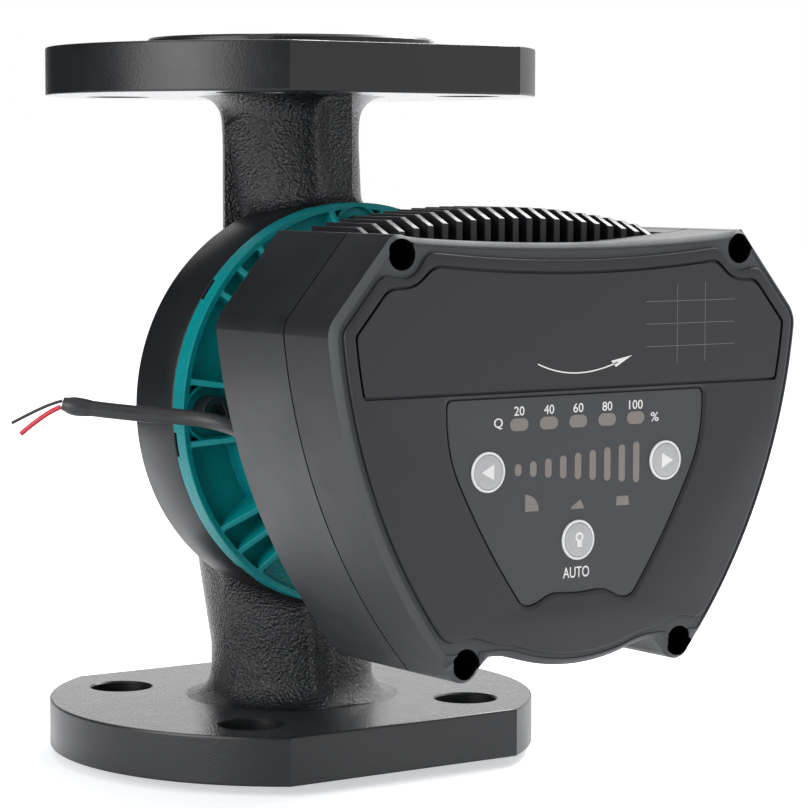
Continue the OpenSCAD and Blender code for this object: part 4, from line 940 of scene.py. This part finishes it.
rim_rows = traced(cover_rim, (
    (-0.03, rim_front - 0.1), (-0.03, rim_front + 0.05), (-0.14, rim_front + 0.22), (-1.4, rim_lip - 0.1),
    (-1.6, rim_lip), (-1.8, rim_lip), (-1.95, rim_lip - 0.1), (-2.05, groove_floor),
))
rim_rows += traced(panel_distance, ((0.3, groove_floor), (-0.1, groove_floor), (-0.1, rim_front - 0.1)))
rim_band = ring_piece("rim_band", rim_rows)
wells = [(side * across, v) for side in (1, -1) for across, v in (upper_well, lower_well)]
cut_away(rim_band, [peg(well, well_radius - 0.2, cutter_back) for well in wells])
# The rim band is the cover's plastic in a lighter grey: painted highlight for the light its chamfer catches.
rim_grey_painted_highlight = new_finish(
    "rim_grey_painted_highlight", (0.053, 0.056, 0.062), (0.063, 0.067, 0.074), (0.52, 0.62), 2400, 0.00006, specular=0.33
)
dress(rim_band, rim_grey_painted_highlight)
# Painted shade on the walls of the well holes through the rim band.
paint_well_shade(rim_band)


plate_margin = 6.8
plate_foot = 11.5
plate_clear = 8.6
keypad_half = 43.6
keypad_top = 9.9
keypad_foot = -47.4
keypad_arc_radius = 220.0
keypad_arc_centre = (-157.65, 85.45)
notch_half = 9.0
notch_v = -43.0
notch_arch = 0.9


def plate_distance(x, v):
    """Distance outside the rating plate: the core less a margin, above a straight lower edge, swung clear
    of the upper wells."""
    plate = smooth_cross(core_distance(x, v, 0.7) + plate_margin, plate_foot - v, 0.8)
    return smooth_cross(plate, plate_clear - well_distance(x, v, upper_well), 4.0)


def keypad_distance(x, v):
    """Distance outside the keypad: upright flanks, arched sides, two round feet and an arched notch."""
    across = np.abs(x)
    body = smooth_cross(across - keypad_half, v - keypad_top, 2.0)
    side = np.hypot(across - keypad_arc_centre[0], v - keypad_arc_centre[1]) - keypad_arc_radius
    body = smooth_cross(smooth_cross(body, side, 4.0), keypad_foot - v, 3.0)
    slope = 0.6 * (across - notch_half) + 0.8 * (v - notch_v)
    arch = v - notch_v + notch_arch * (1 - (x / notch_half) ** 2)
    return smooth_cross(body, -smooth_cross(slope, arch, 2.5), 5.0)


plate_centre = (0.0, 28.0)
keypad_centre = (0.0, -15.0)
plate_pocket = panel_front - 1.3
plate_cutter = loft_piece("plate_cutter", traced(plate_distance, (
    (0.35, plate_pocket), (0.35, cutter_front),
), plate_centre))
keypad_cutter = loft_piece("keypad_cutter", traced(keypad_distance, (
    (0.35, cutter_back), (0.35, 143.8), (0.75, 144.25), (1.2, 144.44), (1.6, panel_front + 0.02),
    (1.6, cutter_front),
), keypad_centre))
panel_face = loft_piece("panel_face", traced(panel_distance, (
    (0, panel_back - 0.05), (0, panel_front - 0.6), (-0.12, panel_front - 0.3), (-0.35, panel_front - 0.1),
    (-0.7, panel_front),
)))
cut_away(panel_face, [plate_cutter, keypad_cutter])
dress(panel_face, cover_grey)
for piece in (cover_shell, rim_band, panel_face):
    stand_for(piece, "pump_body", "front_cover")


# Rating plate: a satin film in a shallow pocket above the keypad. It is left blank for the data of
# the finished pump, with printed rules for the entries and an arrow for the rotor's turn.
plate_grey = new_finish(
    "plate_grey", (0.0095, 0.0098, 0.0125), (0.0125, 0.013, 0.016), (0.4, 0.48), 4200, 0.00002, specular=0.43
)
data_plate = loft_piece("data_plate", traced(plate_distance, (
    (-0.4, plate_pocket), (-0.4, panel_front - 0.1), (-0.5, panel_front),
), plate_centre))
dress(data_plate, plate_grey)
stand_for(data_plate, "pump_body", "rating_plate")


# Keypad: a lighter film sunk in the panel under the plate, with three sprung push buttons in white
# bezels and the windows of the light guides.
keypad_front = 143.88
keypad_grey = new_finish(
    "keypad_grey", (0.036, 0.0375, 0.0425), (0.043, 0.045, 0.0505), (0.42, 0.5), 4200, 0.00002, specular=0.43
)
keypad_film = loft_piece("keypad_film", traced(keypad_distance, (
    (0, panel_back), (0, keypad_front - 0.1), (-0.1, keypad_front),
), keypad_centre))
cut_away(keypad_film, [peg(centre, 5.0, cutter_back) for centre in buttons.values()])
dress(keypad_film, keypad_grey)
stand_for(keypad_film, "pump_body", "keypad_overlay")


button_columns = 64
bezel_white = new_finish("bezel_white", (0.84, 0.845, 0.85), (0.9, 0.905, 0.91), (0.2, 0.3), 2000, 0.00002)
button_silver = new_finish(
    "button_silver", (0.44, 0.44, 0.445), (0.52, 0.52, 0.525), (0.24, 0.32), 3000, 0.00002
)
cap_front = 144.75
bezel_profile = [
    (5.45, 143.2), (5.45, 144.3), (5.35, 144.45), (5.1, 144.5), (4.85, 144.45), (4.75, 144.3), (4.75, 143.2),
]
bezel_faces = ring_faces(len(bezel_profile), button_columns)
for body, centre in buttons.items():
    bezel_points = turned_points(bezel_profile, centre, button_columns)
    bezel = new_piece(body + "_bezel", bezel_points, bezel_faces.tolist())
    dress(bezel, bezel_white)
    stand_for(bezel, "pump_body", "button_bezels")
    stem_end = -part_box(body)[1].y / MM
    cap_profile = [
        (1.6, stem_end), (1.6, 140.2), (5.4, 140.2), (5.4, 141.0), (4.2, 141.0), (4.2, 143.3), (4.65, 143.3),
        (4.65, cap_front - 0.4), (4.5, cap_front - 0.2), (4.2, cap_front - 0.1), (3.4, cap_front - 0.03),
        (2.6, cap_front), (0.1, cap_front),
    ]
    cap_points = turned_points(cap_profile, centre, button_columns)
    cap = new_piece(body + "_cap", cap_points, capped_faces(len(cap_profile), button_columns))
    dress(cap, button_silver)
    stand_for(cap, body, body)

dress_nodes(new_finish(
    "light_beige", (0.2, 0.176, 0.156), (0.25, 0.222, 0.198), (0.4, 0.5), 2400, 0.00003
), "flow_lights", "level_lights", "mode_lights")


# Print: plain numbers over the scale and arrows on the buttons in off-white ink, and grey rules on the
# blank plate. They are silk-screened, and stand a few hundredths of a millimetre proud.
ink_thickness = 0.06


def letter_shape(words, x_span, z_span, plane):
    """Words in a plain sans face as a thin solid, stretched to spans of x and z and laid on a plane of y."""
    letters = bpy.data.curves.new("letters", "FONT")
    letters.body = words
    letters.extrude = 0.01
    letters.offset = 0.004
    letters.resolution_u = 4
    shape = bpy.data.objects.new("letters", letters)
    bpy.context.scene.collection.objects.link(shape)
    bpy.context.view_layer.update()
    mesh = bpy.data.meshes.new_from_object(shape.evaluated_get(bpy.context.evaluated_depsgraph_get()))
    bpy.data.objects.remove(shape)
    solid = bmesh.new()
    solid.from_mesh(mesh)
    bmesh.ops.remove_doubles(solid, verts=solid.verts, dist=0.00001)
    bmesh.ops.recalc_face_normals(solid, faces=solid.faces)
    solid.to_mesh(mesh)
    solid.free()
    flat = corner_points(mesh)
    share = (flat - flat.min(0)) / np.ptp(flat, axis=0)
    x = x_span[0] + share[:, 0] * (x_span[1] - x_span[0])
    z = z_span[0] + share[:, 1] * (z_span[1] - z_span[0])
    points = np.stack([x, plane - ink_thickness * (share[:, 2] - 0.1), z], -1)
    return points, [list(face.vertices) for face in mesh.polygons]


def flat_shape(outline, plane):
    """Outline in x and z as a thin prism that stands on a plane of y."""
    x, z = np.array(outline, float).T
    back = np.stack([x, np.full(len(x), plane + 0.1 * ink_thickness), z], -1)
    front = back - [0, ink_thickness, 0]
    return np.vstack([back, front]), capped_faces(2, len(x))


def stroke_shape(centre, width, plane):
    """Line of varying width: the centre line plus and minus half the width along its normal."""
    line = np.array(centre, float)
    along = np.gradient(line, axis=0)
    along /= np.linalg.norm(along, axis=1, keepdims=True)
    aside = np.stack([-along[:, 1], along[:, 0]], -1) * np.broadcast_to(width, len(line))[:, None] / 2
    return flat_shape(np.vstack([line - aside, (line + aside)[::-1]]), plane)


def ring_shape(centre, radius, width, plane):
    """Flat ring: two circles joined to a thin closed band."""
    columns = 40
    angle = full_turn(columns)[None, :]
    r = radius + np.array([-1, 1, 1, -1])[:, None] * width / 2
    y = plane + np.array([0.1, 0.1, -0.9, -0.9])[:, None] * ink_thickness + 0 * angle
    points = np.stack([centre[0] + r * np.cos(angle), y, centre[1] + r * np.sin(angle)], -1)
    return points.reshape(-1, 3), ring_faces(4, columns).tolist()


def print_piece(name, shapes, ink, body):
    """All shapes of one print in one piece that rides on a body."""
    points, faces, start = [], [], 0
    for shape_points, shape_faces in shapes:
        points.append(shape_points)
        faces += [[corner + start for corner in face] for face in shape_faces]
        start += len(shape_points)
    piece = new_piece(name, np.vstack(points) * MM, faces)
    dress(piece, ink)
    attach(piece, body)


print_white = new_finish("print_white", (0.86, 0.84, 0.81), (0.92, 0.9, 0.87), (0.45, 0.55), 4000, 0.00001)
keypad_plane = -keypad_front
plate_plane = -panel_front
number_span = (115.1, 117.6)
scale_marks = [letter_shape(words, x_span, z_span, keypad_plane) for words, x_span, z_span in (
    ("20", (-21.7, -18.3), number_span), ("40", (-11.7, -8.3), number_span),
    ("60", (-1.7, 1.7), number_span), ("80", (8.3, 11.7), number_span), ("100", (17.6, 22.4), number_span),
    ("Q", (-28.4, -25.5), (111.7, 114.7)), ("%", (25.3, 28.1), (111.4, 114.0)),
    ("AUTO", (-4.95, 4.05), (70.1, 73.1)),
)]
print_piece("scale_print", scale_marks, print_white, "pump_body")

left_arrow = [flat_shape([(-33.0, 100.5), (-28.9, 98.4), (-28.9, 102.6)], -cap_front)]
print_piece("left_arrow", left_arrow, print_white, "left_button")
right_arrow = [flat_shape([(32.7, 100.5), (28.7, 102.6), (28.7, 98.4)], -cap_front)]
print_piece("right_arrow", right_arrow, print_white, "right_button")
auto_sign = [
    ring_shape((0, 81.2), 1.05, 0.6, -cap_front),
    stroke_shape([(0, 80.3), (0, 78.5)], 1.5, -cap_front - 0.02),
]
print_piece("auto_sign", auto_sign, print_white, "auto_button")

rule_grey = new_finish("rule_grey", (0.15, 0.15, 0.155), (0.18, 0.18, 0.185), (0.45, 0.55), 4000, 0.00001)
rule_width = 0.15
plate_rules = [stroke_shape([(x, 127.5), (x, 149.3)], rule_width, plate_plane) for x in (34, 44)]
plate_rules += [stroke_shape([(22.8, z), (54.7, z)], rule_width, plate_plane) for z in (144.5, 138.3, 132.1)]
print_piece("plate_rules", plate_rules, rule_grey, "pump_body")
share = np.linspace(0, 1, 25)[:, None]
sweep = (1 - share) ** 2 * [-14.3, 128.7] + 2 * share * (1 - share) * [-1.7, 123.2] + share**2 * [13, 128.3]
turn_arrow = [
    stroke_shape(sweep, 0.35, plate_plane), flat_shape([(10.7, 128.7), (12.4, 127), (18, 130)], plate_plane),
]
print_piece("turn_arrow", turn_arrow, print_white, "pump_body")
